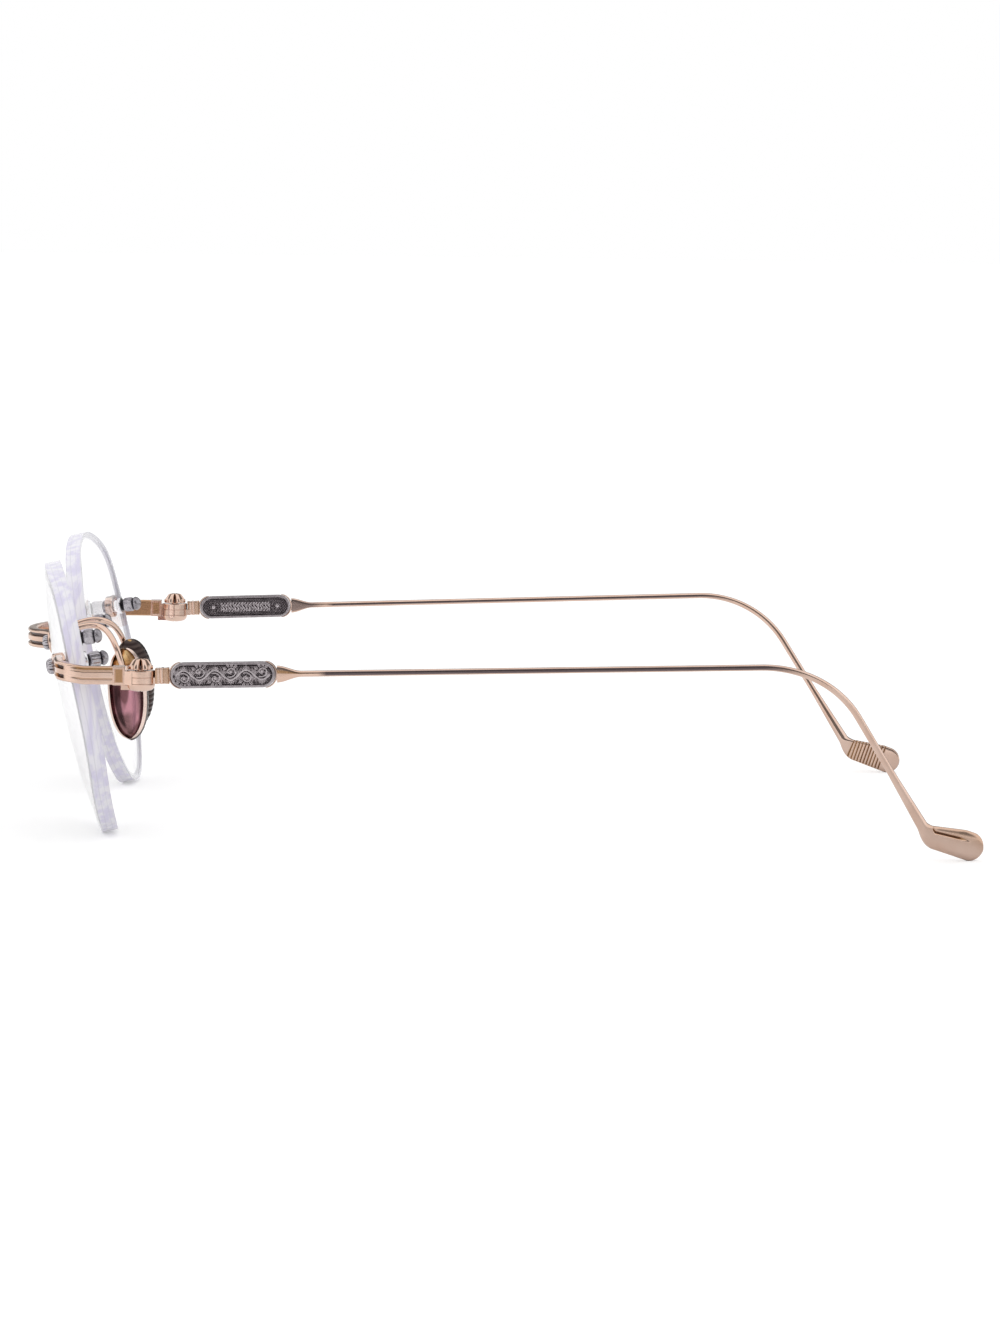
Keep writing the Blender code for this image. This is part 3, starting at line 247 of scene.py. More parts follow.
def lens_glass():
    """Clear sheet with a ground lavender edge and a thin grey outline."""
    material, nodes, shader, place = new_material("lens_lavender")
    clear, pale = (0.99, 0.985, 0.995), (0.955, 0.94, 0.995)
    lavender, outline = (0.80, 0.765, 0.935), (0.66, 0.65, 0.72)
    rim, corner = nodes.attribute("rim"), nodes.attribute("corner")
    film = nodes.noise(place, 140, 3)
    streak = nodes.noise(nodes.stretched(place, (700, 700, 30)), 1.0, 3)
    ground = nodes.noise(place, 6000, 3, 0.6)
    edge = nodes.mix(nodes.spread(streak, 0.42, 0.60), pale, lavender)
    colour = nodes.mix(corner, nodes.mix(rim, clear, edge), outline)
    opaque = nodes.math("MAXIMUM", nodes.math("MULTIPLY", rim, 0.86), nodes.math("MULTIPLY", corner, 0.9))
    relief = nodes.mix(rim, film, nodes.math("ADD", nodes.math("MULTIPLY", streak, 2.0), ground))
    nodes.fill(shader, Base_Color=colour, Roughness=0.0, IOR=1.5, Normal=nodes.bump(relief, 0.000005, 0.3),
               Transmission_Weight=nodes.math("SUBTRACT", 1.0, opaque))
    tint = nodes.add("ShaderNodeVolumeAbsorption")
    nodes.fill(tint, Color=(0.80, 0.74, 0.92, 1.0), Density=8.0)
    nodes.link(tint.outputs[0], nodes.tree.nodes["Material Output"].inputs["Volume"])
    return material


def nylon():
    material, nodes, shader, place = new_material("nylon")
    cloud = nodes.noise(place, 1500, 3)
    colour = nodes.mix(cloud, (0.86, 0.86, 0.84), (0.93, 0.93, 0.92))
    rough = nodes.spread(cloud, 0.3, 0.7, 0.3, 0.45)
    normal = nodes.bump(cloud, 0.00001, 0.3)
    nodes.fill(shader, Base_Color=colour, Roughness=rough, Transmission_Weight=0.15, Normal=normal)
    return material


GOLD = rose_gold()
SILVER = old_silver("silver_oxidised", (0.62, 0.58, 0.60), (0.20, 0.175, 0.19))
GLASS = lens_glass()
NYLON = nylon()


# Shape helpers
def blend(a, b, t):
    return a + (b - a) * t


def smooth(t):
    return t * t * (3 - 2 * t)


def clamp(t):
    return min(1, max(0, t))


def ease(value, low, high):
    """0 below low, 1 above high and a smooth rise between them."""
    return smooth(clamp((value - low) / (high - low)))


def axes_of(placed):
    """The three directions of a placement."""
    return [column.to_3d() for column in placed.transposed()[:3]]


def mesh_object(name, bm):
    """Puts a mesh into the scene as an object of that name."""
    mesh = bpy.data.meshes.new(name)
    bm.to_mesh(mesh)
    bm.free()
    thing = bpy.data.objects.new(name, mesh)
    bpy.context.scene.collection.objects.link(thing)
    return thing


def make_piece(name, bm, material, body, slot, *nodes):
    """Turns a mesh in the shared frame into a piece that rides on its body and stands for its nodes.
    Its faces look outward, also on a mirrored mesh, because the glass tints what is inside it."""
    bmesh.ops.recalc_face_normals(bm, faces=bm.faces)
    if bm.calc_volume(signed=True) < 0:
        bmesh.ops.reverse_faces(bm, faces=bm.faces)
    piece = mesh_object(name, bm)
    piece.data.materials.append(material)
    piece.data.shade_smooth()
    piece.data.set_sharp_from_angle(angle=math.radians(38))
    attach(piece, body)
    if nodes:
        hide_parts(*nodes)


def both_sides(name, build, material, body, slot, *nodes):
    """Makes the left piece and its mirror image. build() gives the left one's mesh."""
    for side, flip in (("left", Matrix()), ("right", FLIP_X)):
        bm = build()
        bm.transform(flip)
        owner = body.replace("SIDE", side)
        stands_for = [node + "_" + side for node in nodes]
        make_piece(name + "_" + side, bm, material, owner, slot, *stands_for)


def new_mesh():
    """Empty mesh whose points carry how deep they sit in a hollow, up to 1. Below 0 they have the
    material's other tone."""
    bm = bmesh.new()
    bm.verts.layers.float.new("cavity")
    return bm


def join(bm, near, far):
    """Makes the faces between two closed rings, either of which may be a single point."""
    count = max(len(near), len(far))
    for i in range(count):
        k = (i + 1) % count
        corners = [near[i % len(near)], near[k % len(near)], far[k % len(far)], far[i % len(far)]]
        bm.faces.new(dict.fromkeys(corners))


def loft(bm, rings, hollows=None):
    """Bridges closed rings of equally many points. A ring of one point closes that end."""
    loops = [[bm.verts.new(point) for point in ring] for ring in rings]
    if hollows:
        cavity = bm.verts.layers.float["cavity"]
        for loop, depths in zip(loops, hollows):
            for vert, depth in zip(loop, depths):
                vert[cavity] = depth
    for near, far in zip(loops, loops[1:]):
        join(bm, near, far)
    for loop in (loops[0], loops[-1]):
        if len(loop) > 1:
            bm.faces.new(loop)
    return loops


def superellipse(half_width, half_height, squareness, count, start=0.0):
    points = []
    for i in range(count):
        turn = start + math.tau * i / count
        c, s = math.cos(turn), math.sin(turn)
        x = half_width * math.copysign(abs(c) ** (2 / squareness), c)
        y = half_height * math.copysign(abs(s) ** (2 / squareness), s)
        points.append((x, y))
    return points


# Lens frame: local X outward, Y up and Z forward
def lens_sag(u, v):
    return LENS_BASE_RADIUS - math.sqrt(LENS_BASE_RADIUS ** 2 - u * u - v * v)


def back_sag(u, v):
    return LENS_BASE_RADIUS - math.sqrt((LENS_BASE_RADIUS - LENS_THICKNESS) ** 2 - u * u - v * v)


def lens_turn():
    upright = Matrix.Rotation(math.pi / 2, 4, "X")
    return Matrix.Rotation(LENS_TILT, 4, "X") @ Matrix.Rotation(LENS_WRAP, 4, "Z") @ upright


def lens_outline(sides):
    points = []
    for i in range(sides):
        turn = -math.pi / 2 + math.tau * (i + 0.5) / sides
        fullness = LENS_UPPER_FULLNESS if math.sin(turn) > 0 else LENS_LOWER_FULLNESS
        squareness = 2 + fullness * math.sin(2 * turn) ** 2
        points += superellipse(LENS_WIDTH / 2, LENS_HEIGHT / 2, squareness, 1, turn)
    return points


def lens_frame():
    turn = lens_turn()
    lowest = min((turn @ Vector((u, v, -lens_sag(u, v)))).z for u, v in lens_outline(64))
    middle = Vector((LENS_SPACING / 2 + LENS_WIDTH / 2, -LENS_AHEAD, -lowest))
    return FRONT @ Matrix.Translation(middle) @ turn


def seat_frame(u, v):
    point = Vector((u, v, -lens_sag(u, v)))
    normal = (point + Vector((0, 0, LENS_BASE_RADIUS))).normalized()
    side = Vector((0, 1, 0)).cross(normal).normalized()
    up = normal.cross(side)
    seat = Matrix((side, up, normal)).transposed().to_4x4()
    seat.translation = point
    return LENS_FRAME @ seat


LENS_FRAME = lens_frame()
TEMPORAL_SEAT = seat_frame(LENS_WIDTH / 2 - TEMPORAL_HOLE_INSET, TEMPORAL_HOLE_RISE)
NASAL_SEAT = seat_frame(NASAL_HOLE_INSET - LENS_WIDTH / 2, NASAL_HOLE_RISE)


def cut(bm, cutters):
    """The mesh with the cutters' meshes taken away."""
    thing = mesh_object("cut", bm)
    tools = [mesh_object("tool", cutter) for cutter in cutters]
    for tool in tools:
        boolean = thing.modifiers.new("cut", "BOOLEAN")
        boolean.operation = "DIFFERENCE"
        boolean.solver = "EXACT"
        boolean.object = tool
    bpy.context.view_layer.update()
    done = bpy.data.meshes.new_from_object(thing.evaluated_get(bpy.context.evaluated_depsgraph_get()))
    result = bmesh.new()
    result.from_mesh(done)
    for used in (thing, *tools):
        bpy.data.objects.remove(used, do_unlink=True)
    return result


def rod(radius, bottom, top, placed, sides=32):
    bm = bmesh.new()
    middle = placed @ Matrix.Translation((0, 0, (bottom + top) / 2))
    bmesh.ops.create_cone(bm, cap_ends=True, segments=sides, radius1=radius, radius2=radius,
                          depth=top - bottom, matrix=middle)
    return bm


LENS_SIDES = 192
LENS_ROWS = 14
LENS_CORNER = 0.00055
LENS_LINE = 0.00100
# Rings across the ground edge, as (share from front to back, how strong the grey line is)
LENS_EDGE = ((0.04, 0.3), (0.12, 0), (0.30, 0), (0.34, 0.55), (0.38, 0), (0.64, 0), (0.67, 0.4), (0.70, 0),
             (0.88, 0), (0.96, 0.3))


def lens_mesh():
    """Meniscus lens with a ground edge. Its points know the edge and the corner lines."""
    outline = lens_outline(LENS_SIDES)
    half = LENS_WIDTH / 2
    shares = [row / LENS_ROWS for row in range(1, LENS_ROWS)] + [1 - LENS_LINE / half, 1 - LENS_CORNER / half]

    def face_ring(sag, share):
        ring = [Vector((u * share, v * share, -sag(u * share, v * share))) for u, v in outline]
        return ring, 0, 1 if share == shares[-1] else 0

    sections = [([Vector((0, 0, -lens_sag(0, 0)))], 0, 0)]
    sections += [face_ring(lens_sag, share) for share in shares]
    for part, corner in LENS_EDGE:
        ring = [Vector((u, v, blend(-lens_sag(u, v), -back_sag(u, v), part))) for u, v in outline]
        sections.append((ring, 1, corner))
    sections += [face_ring(back_sag, share) for share in reversed(shares)]
    sections.append(([Vector((0, 0, -back_sag(0, 0)))], 0, 0))
    bm = bmesh.new()
    rim, line = bm.verts.layers.float.new("rim"), bm.verts.layers.float.new("corner")
    for loop, (_, on_rim, on_line) in zip(loft(bm, [section[0] for section in sections]), sections):
        for vert in loop:
            vert[rim], vert[line] = on_rim, on_line
    bm.transform(LENS_FRAME)
    bmesh.ops.recalc_face_normals(bm, faces=bm.faces)
    reach = 2 * LENS_THICKNESS
    return cut(bm, [rod(LENS_HOLE_RADIUS, -reach, reach, seat) for seat in (TEMPORAL_SEAT, NASAL_SEAT)])


both_sides("drilled_lens", lens_mesh, GLASS, "front", "lens_tint", "lens")


# Temple wire
def heading(inward, pitch):
    side = Vector((math.cos(inward), math.sin(inward), 0))
    ahead = Vector((-math.sin(inward) * math.cos(pitch), math.cos(inward) * math.cos(pitch), math.sin(pitch)))
    return side, ahead, side.cross(ahead)


def run_frame():
    side, ahead, up = heading(-TEMPLE_SPLAY, TEMPLE_RISE)
    placed = Matrix((side, ahead, up)).transposed().to_4x4()
    placed.translation = (0, 0, TEMPLE_LIFT)
    return HINGE @ placed


RUN_FRAME = run_frame()
PLAQUE_END = PLAQUE_START + PLAQUE_LENGTH
TAPER_START = PLAQUE_END + SEAT_GAP + BEZEL_RIM / 2
TAPER_END = TAPER_START + TAPER_LENGTH
FACE_POINTS = 104
# Strength of the painted dark reflection along the wire's core
WIRE_DARK_REFLECTION = 0.95
CREASE_DEPTH = 0.00026
CREASE_HALF_WIDTH = 0.00017
CREASE_STEP = 0.00010
CREASE_STEP_RUN = 0.0003
CREASE_FADE_IN = 0.0006
CREASE_FADE_OUT = 0.0026
# The crease's knees, as (along the paddle, above its middle)
CREASE_ROUTE = ((-0.0009, 0.00085), (0.0001, 0.00036), (0.0058, 0.00080))
RIDGES_FORWARD = 0.0009
RIDGE_MARGIN = 0.0002
PADDLE_DOME = 3.4
PADDLE_TOP_START = -0.0024
PADDLE_TOP_END = 0.0052
PADDLE_UPPER_SHADE = 0.20


def crease_height(along):
    """Height of the crease on the paddle's outer face, as far along the paddle as told."""
    (a, low), (b, knee), (c, high) = CREASE_ROUTE
    if along < b:
        return blend(low, knee, max(0, (along - a) / (b - a)))
    return blend(knee, high, min(1, (along - b) / (c - b)))


def paddle_shift(along, rise, half_height):
    """How far the paddle's outer and inner faces sink below their smooth form, and how strong the painted shade in
    the crease is.
    """
    start, end = CREASE_ROUTE[0][0], CREASE_ROUTE[2][0]
    above = rise - crease_height(along)
    fade = ease(along, start, start + CREASE_FADE_IN) * ease(end + CREASE_FADE_IN - along, 0, CREASE_FADE_OUT)
    line = math.exp(-(above / CREASE_HALF_WIDTH) ** 2)
    upper = ease(above, -CREASE_STEP_RUN / 2, CREASE_STEP_RUN / 2)
    outer = fade * (CREASE_DEPTH * line + CREASE_STEP * upper)
    flat = TIP_FLARE + TIP_LENGTH - TIP_HEIGHT / 2
    first = (flat - (RIDGE_COUNT - 1) * RIDGE_PITCH) / 2 - RIDGES_FORWARD
    phase = (along - first) / RIDGE_PITCH
    inner = 0.0
    if -0.5 < phase < RIDGE_COUNT - 0.5:
        margin = ease(half_height - abs(rise), 0, RIDGE_MARGIN)
        inner = RIDGE_DEPTH * margin * max(0, math.cos(math.tau * phase)) ** 0.7
    return outer, inner, fade * line


def wire_section(axes, centre, half_height, half_thickness, squareness, along=None, brown=0.0, shade=0.0):
    """Points of one section. Their fourth number is how dark they are: painted shade, or below 0 a painted dark
    reflection along the wire's core.
    along is how far the section is along the paddle, if it is on it."""
    side, _, up = axes
    points = []
    for face in (1, -1):
        power = squareness if face < 0 else min(squareness, PADDLE_DOME)
        for i in range(FACE_POINTS):
            level = math.sin(math.pi * (i / FACE_POINTS - 0.5) * face)
            rise = half_height * level
            out = half_thickness * (1 - abs(level) ** power) ** (1 / power) * face
            # Painted dark reflection along the wire's core, narrower on the inner face
            hollow = -brown * ease((0.76 if face > 0 else 0.52) - abs(level), 0, 0.28)
            # Painted shade: a band on the taper's outer face, and its inner face darker
            if face > 0:
                hollow += shade * ease(0.26 - abs(level - 0.30), 0, 0.12)
            else:
                hollow -= 1.4 * shade * ease(0.90 - abs(level), 0, 0.20)
            if along is not None:
                if rise > 0 and along < PADDLE_TOP_END:
                    grown = clamp((along - PADDLE_TOP_START) / (PADDLE_TOP_END - PADDLE_TOP_START))
                    rise *= min(1, blend(WIRE_ELBOW_RADIUS, TIP_HEIGHT / 2, grown) / half_height)
                # Painted shade on the paddle's upper outer face, in its crease and in the grooves between its
                # inner ridges
                hollow = PADDLE_UPPER_SHADE * ease(rise, -0.0004, 0.0016) * (face > 0)
                outer, inner, crease = paddle_shift(along, rise, half_height)
                if face > 0 and out > outer:
                    out, hollow = out - outer, max(hollow, crease)
                elif face < 0 and -out > inner:
                    out, hollow = out + inner, 0.95 * inner / RIDGE_DEPTH
            points.append((*(centre + side * out + up * rise), hollow))
    return points


def walk_arc(position, start, end, radius, steps):
    angle = abs(end[1] - start[1])
    stride = radius * angle / steps
    for i in range(1, steps + 1):
        before = blend(Vector(start), Vector(end), (i - 0.5) / steps)
        after = blend(Vector(start), Vector(end), i / steps)
        position = position + heading(*before)[1] * stride
        yield position, heading(*after)


def wire_rings(leg_length):
    """Rings from the taper to the round end of the paddle, in the hinge's frame."""
    run_way, leg_way, tip_way = (-TEMPLE_SPLAY, TEMPLE_RISE), (LEG_INWARD, LEG_PITCH), (TIP_INWARD, TIP_PITCH)
    straight, leg, tip = heading(*run_way), heading(*leg_way), heading(*tip_way)
    route = HINGE.inverted() @ RUN_FRAME
    rings = []

    def add(axes, centre, half_height, half_thickness, squareness=2.0, **looks):
        rings.append(wire_section(axes, centre, half_height, half_thickness, squareness, **looks))

    bezel_half = BEZEL_THICKNESS / 2 - SOLDER_GAP / 2
    for i in range(13):
        part = i / 12
        shrink = smooth(part)
        add(straight, route @ Vector((0, blend(TAPER_START, TAPER_END, part), 0)),
            blend(TAPER_HEIGHT / 2, WIRE_RADIUS, shrink), blend(bezel_half, WIRE_RADIUS, shrink),
            blend(4, 2, part), shade=0.5)
    for part in (0.035, 0.055, 0.25, 0.5, 0.75, 1.0):
        centre = route @ Vector((0, blend(TAPER_END, BEND_START, part), 0))
        add(straight, centre, WIRE_RADIUS, WIRE_RADIUS, brown=WIRE_DARK_REFLECTION * (part > 0.04))
    position = route @ Vector((0, BEND_START, 0))
    steps = 36
    for i, (position, axes) in enumerate(walk_arc(position, run_way, leg_way, BEND_RADIUS, steps), start=1):
        radius = blend(WIRE_RADIUS, WIRE_HOOK_RADIUS, i / steps)
        add(axes, position, radius, radius, brown=WIRE_DARK_REFLECTION * ease(-i, -0.45 * steps, 0))
    for i in range(1, 9):
        position = position + leg[1] * leg_length / 8
        radius = blend(WIRE_HOOK_RADIUS, WIRE_ELBOW_RADIUS, max(0, i / 4 - 1))
        add(leg, position, radius, radius)
    flaring = []
    steps = 25
    for i, (position, axes) in enumerate(walk_arc(position, leg_way, tip_way, ELBOW_RADIUS, steps), start=1):
        along = (i / steps - 1) * ELBOW_RADIUS * (TIP_PITCH - LEG_PITCH)
        flaring.append((i / steps * 5 / 6, position, axes, along))
    start = position
    for part in (0.2, 0.4, 0.6, 0.8, 1.0):
        along = TIP_FLARE * part
        flaring.append((blend(5 / 6, 1, part), start + tip[1] * along, tip, along))
    for share, position, axes, along in flaring:
        grow = smooth(share)
        add(axes, position, blend(WIRE_ELBOW_RADIUS, TIP_HEIGHT / 2, grow),
            blend(WIRE_ELBOW_RADIUS, TIP_THICKNESS / 2, grow), blend(2, TIP_SQUARENESS, grow), along=along)
    round_start = TIP_LENGTH - TIP_HEIGHT / 2
    for i in range(1, 81):
        along = blend(TIP_FLARE, round_start, i / 80)
        add(tip, start + tip[1] * along, TIP_HEIGHT / 2, TIP_THICKNESS / 2, TIP_SQUARENESS, along=along)
    for i in range(1, 16):
        angle = math.radians(84) * i / 15
        along = round_start + TIP_HEIGHT / 2 * math.sin(angle)
        half_thickness = TIP_THICKNESS / 2 * (1 - 0.35 * smooth(i / 15))
        half_height = TIP_HEIGHT / 2 * math.cos(angle)
        add(tip, start + tip[1] * along, half_height, half_thickness, TIP_SQUARENESS, along=along)
    return rings


LEG_LENGTH = (min(point[2] for ring in wire_rings(0.0) for point in ring) + HINGE_AT.z) / math.sin(-LEG_PITCH)


def wire_mesh():
    bm = new_mesh()
    rings = wire_rings(LEG_LENGTH)
    points = [[point[:3] for point in ring] for ring in rings]
    loft(bm, points, [[point[3] for point in ring] for ring in rings])
    bm.transform(HINGE)
    return bm


both_sides("fine_temple_wire", wire_mesh, GOLD, "temple_SIDE", "rose_gold", "temple_wire")


# Plaque: a board with round ends, a raised border and a generic running vine in relief
END_RUN = 0.0021
END_POWER = 2.05
RELIEF_COLUMNS = 460
RELIEF_ROWS = 110
RELIEF_DEPTH = 0.00030
COLUMN_SQUEEZE = 0.90
FIELD_WALL = 0.00010
PLAQUE_ROUNDING = 0.00022
PLAQUE_EDGE_DROP = 0.00020
PLAQUE_MIDDLE = (PLAQUE_START + PLAQUE_END) / 2
# The reliefs below are in millimetres
GROUND_HEIGHT = 0.40
VINE_BAYS = 6
VINE_REACH = 7.2
VINE_SWAY = 0.74


def plaque_half_height(along):
    """Half height of the plaque this far from its middle, as a share of the full one."""
    into_end = max(0, abs(along) - PLAQUE_LENGTH / 2 + END_RUN) / END_RUN
    return max(0, 1 - into_end ** END_POWER) ** (1 / END_POWER)


def stroke(u, v, points, start_width, end_width):
    """Half-round ridge along a line of points, from 1 on its crest to 0 at its edge."""
    points = np.array(points)
    best = np.zeros_like(u)
    for i, ((ax, ay), (bx, by)) in enumerate(zip(points, points[1:])):
        width = blend(start_width, end_width, (i + 0.5) / (len(points) - 1))
        dx, dy = bx - ax, by - ay
        near = np.abs(u - (ax + bx) / 2) < width + abs(dx)
        near &= np.abs(v - (ay + by) / 2) < width + abs(dy)
        t = np.clip(((u[near] - ax) * dx + (v[near] - ay) * dy) / (dx * dx + dy * dy + 1e-12), 0, 1)
        distance = np.hypot(u[near] - ax - t * dx, v[near] - ay - t * dy)
        best[near] = np.maximum(best[near], np.sqrt(np.clip(1 - (distance / width) ** 2, 0, 1)))
    return best


def leaf(u, v, at, turn, length, width):
    """Pointed leaf with a sunken midrib, growing from a point in one direction."""
    x = ((u - at[0]) * math.cos(turn) + (v - at[1]) * math.sin(turn)) / length
    y = (-(u - at[0]) * math.sin(turn) + (v - at[1]) * math.cos(turn)) / width
    inside = np.clip(x, 0, 1)
    reach = 1.9 * np.sqrt(inside) * (1 - inside) ** 0.8 + 1e-6
    body = np.clip(1 - (y / reach) ** 2, 0, 1) * (x > 0) * (x < 1)
    rib = 1 - 0.55 * np.exp(-(y / 0.16) ** 2)
    return np.sqrt(body) * rib * (0.72 + 0.28 * np.sin(math.pi * inside))


def leaf_fan(u, v, at, middle, tilts, length, droop, width):
    """Leaves that spread from one point, shorter where they tilt more."""
    return [0.9 * leaf(u, v, at, middle + tilt, length - droop * abs(tilt), width) for tilt in tilts]


def bead(u, v, at, radius):
    return np.sqrt(np.clip(1 - ((u - at[0]) ** 2 + (v - at[1]) ** 2) / radius ** 2, 0, 1))


def spiral(centre, start_turn, turns, outer, inner, count=34):
    points = []
    for i in range(count + 1):
        part = i / count
        radius = blend(outer, inner, part ** 0.8)
        angle = start_turn + math.tau * turns * part
        points.append((centre[0] + 1.08 * radius * math.cos(angle), centre[1] + radius * math.sin(angle)))
    return points


def grained_ground(u, v, pitch=0.30):
    """Low beads in rows, which fill the ground between the leaves."""
    row = np.round(v / (pitch * 0.87))
    shift = pitch / 2 * (row % 2)
    away = np.hypot(u - shift - pitch * np.round((u - shift) / pitch), v - row * pitch * 0.87)
    return np.sqrt(np.clip(1 - (away / (0.42 * pitch)) ** 2, 0, 1))


def vine_relief(u, v):
    """Running vine: a waving stem with a curled shoot and leaves in each bay."""
    bay = 2 * VINE_REACH / VINE_BAYS
    stem = [(-VINE_REACH + 2 * VINE_REACH * i / 120, VINE_SWAY * math.sin(math.pi * VINE_BAYS * i / 120))
            for i in range(121)]
    shapes = [GROUND_HEIGHT * grained_ground(u, v), 0.9 * stroke(u, v, stem, 0.18, 0.18)]
    for k in range(VINE_BAYS):
        middle = -VINE_REACH + (k + 0.5) * bay
        way = 1 if k % 2 == 0 else -1
        heart = (middle + 0.05, -way * 0.50)
        curl = spiral(heart, way * (0.5 * math.pi + 0.5), -way * 1.05, 0.88, 0.30)
        shapes += [0.85 * stroke(u, v, curl, 0.15, 0.11), bead(u, v, heart, 0.22)]
        shapes += [leaf(u, v, heart, math.tau * (petal + 0.25 * way) / 5, 0.62, 0.21) for petal in range(5)]
        for spot, turn in ((0.66, 0.62), (0.64, 0.26), (0.62, -0.08), (0.60, -0.42)):
            angle = -way * (math.pi * 0.5 + turn * 1.7)
            at = (heart[0] + spot * math.cos(angle), heart[1] + spot * math.sin(angle))
            shapes.append(0.95 * leaf(u, v, at, angle, 1.00, 0.30))
        crest = (middle, way * VINE_SWAY - way * 0.1)
        shapes += leaf_fan(u, v, crest, way * (math.pi / 2), (-1.15, -0.58, 0.0, 0.58, 1.15), 1.02, 0.1, 0.28)
        for upright in (-math.pi / 2, math.pi / 2):
            joint = (middle - bay / 2, 0.0)
            shapes += leaf_fan(u, v, joint, upright + 0.25 * way, (-0.62, -0.02, 0.52), 1.50, 0, 0.24)
    for end, ahead in ((-6.55, math.pi), (6.55, 0)):
        shapes += leaf_fan(u, v, (end, 0), ahead, (-1.2, -0.8, -0.4, 0.0, 0.4, 0.8, 1.2), 1.05, 0.12, 0.21)
    return np.maximum.reduce(shapes)


def frieze_relief(u, v):
    """Inner side: a long raised bar with fine cross ribs between two bossed rounds."""
    bar = np.clip((0.92 - np.abs(v)) / 0.08, 0, 1) * np.clip((4.5 - np.abs(u)) / 0.08, 0, 1)
    wave = 0.45 * np.sin(math.tau * u / 0.52 + 2.2 * np.sin(v * 5.6))
    ribs = 0.55 + wave * np.cos(v * 4.1 + 0.9 * np.sin(u * 3.1))
    shapes = [GROUND_HEIGHT * grained_ground(u, v), bar * ribs]
    for end in (-5.75, 5.75):
        ring = 0.8 * np.clip(1 - np.abs(np.hypot(u - end, v) - 0.98) / 0.12, 0, 1)
        shapes += [bead(u, v, (end, 0), 0.36), ring]
        for turn in range(8):
            angle = math.tau * (turn + 0.5) / 8
            at = (end + 0.26 * math.cos(angle), 0.26 * math.sin(angle))
            shapes.append(0.75 * leaf(u, v, at, angle, 0.60, 0.16))
    return np.maximum.reduce(shapes)


def plaque_mesh():
    bm = bmesh.new()
    level = bm.verts.layers.float.new("relief")
    half_length, half_height = PLAQUE_LENGTH / 2, PLAQUE_HEIGHT / 2
    turns = np.linspace(-math.pi / 2, math.pi / 2, RELIEF_COLUMNS + 1) * COLUMN_SQUEEZE
    along = np.clip(np.sin(turns) / math.sin(math.pi / 2 * COLUMN_SQUEEZE), -0.99995, 0.99995) * half_length
    rows = np.linspace(-1, 1, RELIEF_ROWS + 1)
    spread = np.array([plaque_half_height(a) for a in along])
    u = np.repeat(along[:, None], len(rows), 1)
    v = spread[:, None] * half_height * rows[None, :]
    into_end = np.clip(np.abs(u) - half_length + END_RUN, 0, None) / END_RUN
    from_heart = (into_end ** END_POWER + np.abs(v / half_height) ** END_POWER) ** (1 / END_POWER)
    to_edge = half_height * (1 - from_heart)
    field = np.clip((to_edge - PLAQUE_BORDER) / FIELD_WALL, 0, 1)
    rounding = np.sqrt(np.clip(1 - np.clip(1 - to_edge / PLAQUE_ROUNDING, 0, 1) ** 2, 0, 1))
    sheets = []
    for side, relief in ((1, vine_relief), (-1, frieze_relief)):
        raised = relief(u * 1000, v * 1000)
        sunk = field * RELIEF_DEPTH * (1 - 0.95 * raised)
        out = side * (PLAQUE_THICKNESS / 2 - sunk - PLAQUE_EDGE_DROP * (1 - rounding))
        bright = np.where(field > 0.5, raised, 0.55)
        grid = []
        for i in range(len(along)):
            line = []
            for j in range(len(rows)):
                vert = bm.verts.new((out[i, j], PLAQUE_MIDDLE + u[i, j], v[i, j]))
                vert[level] = float(bright[i, j])
                line.append(vert)
            grid.append(line)
        for i in range(len(along) - 1):
            for j in range(len(rows) - 1):
                quad = [grid[i][j], grid[i + 1][j], grid[i + 1][j + 1], grid[i][j + 1]]
                bm.faces.new(quad if side > 0 else quad[::-1])
        around = [line[0] for line in grid] + grid[-1][1:]
        around += [line[-1] for line in grid[-2::-1]] + grid[0][-2:0:-1]
        sheets.append(around)
    outer, inner = sheets
    for k in range(len(outer)):
        n = (k + 1) % len(outer)
        bm.faces.new((outer[n], outer[k], inner[k], inner[n]))
    bm.transform(RUN_FRAME)
    return bm


def relief_silver():
    """Cast silver, dark in its hollows and rubbed bright on its crests."""
    material, nodes, shader, place = new_material("silver_relief")
    hollow_tone, crest_tone = (0.078, 0.060, 0.070), (0.70, 0.64, 0.66)
    level = nodes.attribute("relief")
    patch = nodes.noise(place, 1300, 4, 0.6)
    grain = nodes.noise(place, 14000, 3, 0.6)
    worn = nodes.math("ADD", level, nodes.math("MULTIPLY", nodes.math("SUBTRACT", patch, 0.5), 0.6))
    colour = nodes.mix(nodes.spread(worn, 0.02, 0.95), hollow_tone, crest_tone)
    rough = nodes.spread(worn, 0.1, 0.9, 0.50, 0.28)
    normal = nodes.bump(grain, 0.00001, 0.6)
    nodes.fill(shader, Base_Color=colour, Metallic=1.0, Roughness=rough, Normal=normal)
    return material


both_sides("relief_plaque", plaque_mesh, relief_silver(), "temple_SIDE", "oxidised_silver", "plaque")


# Rims round the plaque's ends
RIM_NOSE = 0.00029
RIM_REACH = 1.33


def outline_point(turn, end, grow):
    """Point of the plaque's outline near one end, moved outward, as (along, up) from its middle."""
    def at(angle):
        c, s = math.cos(angle), math.sin(angle)
        run = END_RUN * abs(c) ** (2 / END_POWER)
        return Vector((end * (PLAQUE_LENGTH / 2 - END_RUN + run),
                       PLAQUE_HEIGHT / 2 * math.copysign(abs(s) ** (2 / END_POWER), s)))
    ahead = at(turn + 0.001) - at(turn - 0.001)
    normal = Vector((ahead.y, -ahead.x)).normalized() * end
    return at(turn) + normal * grow


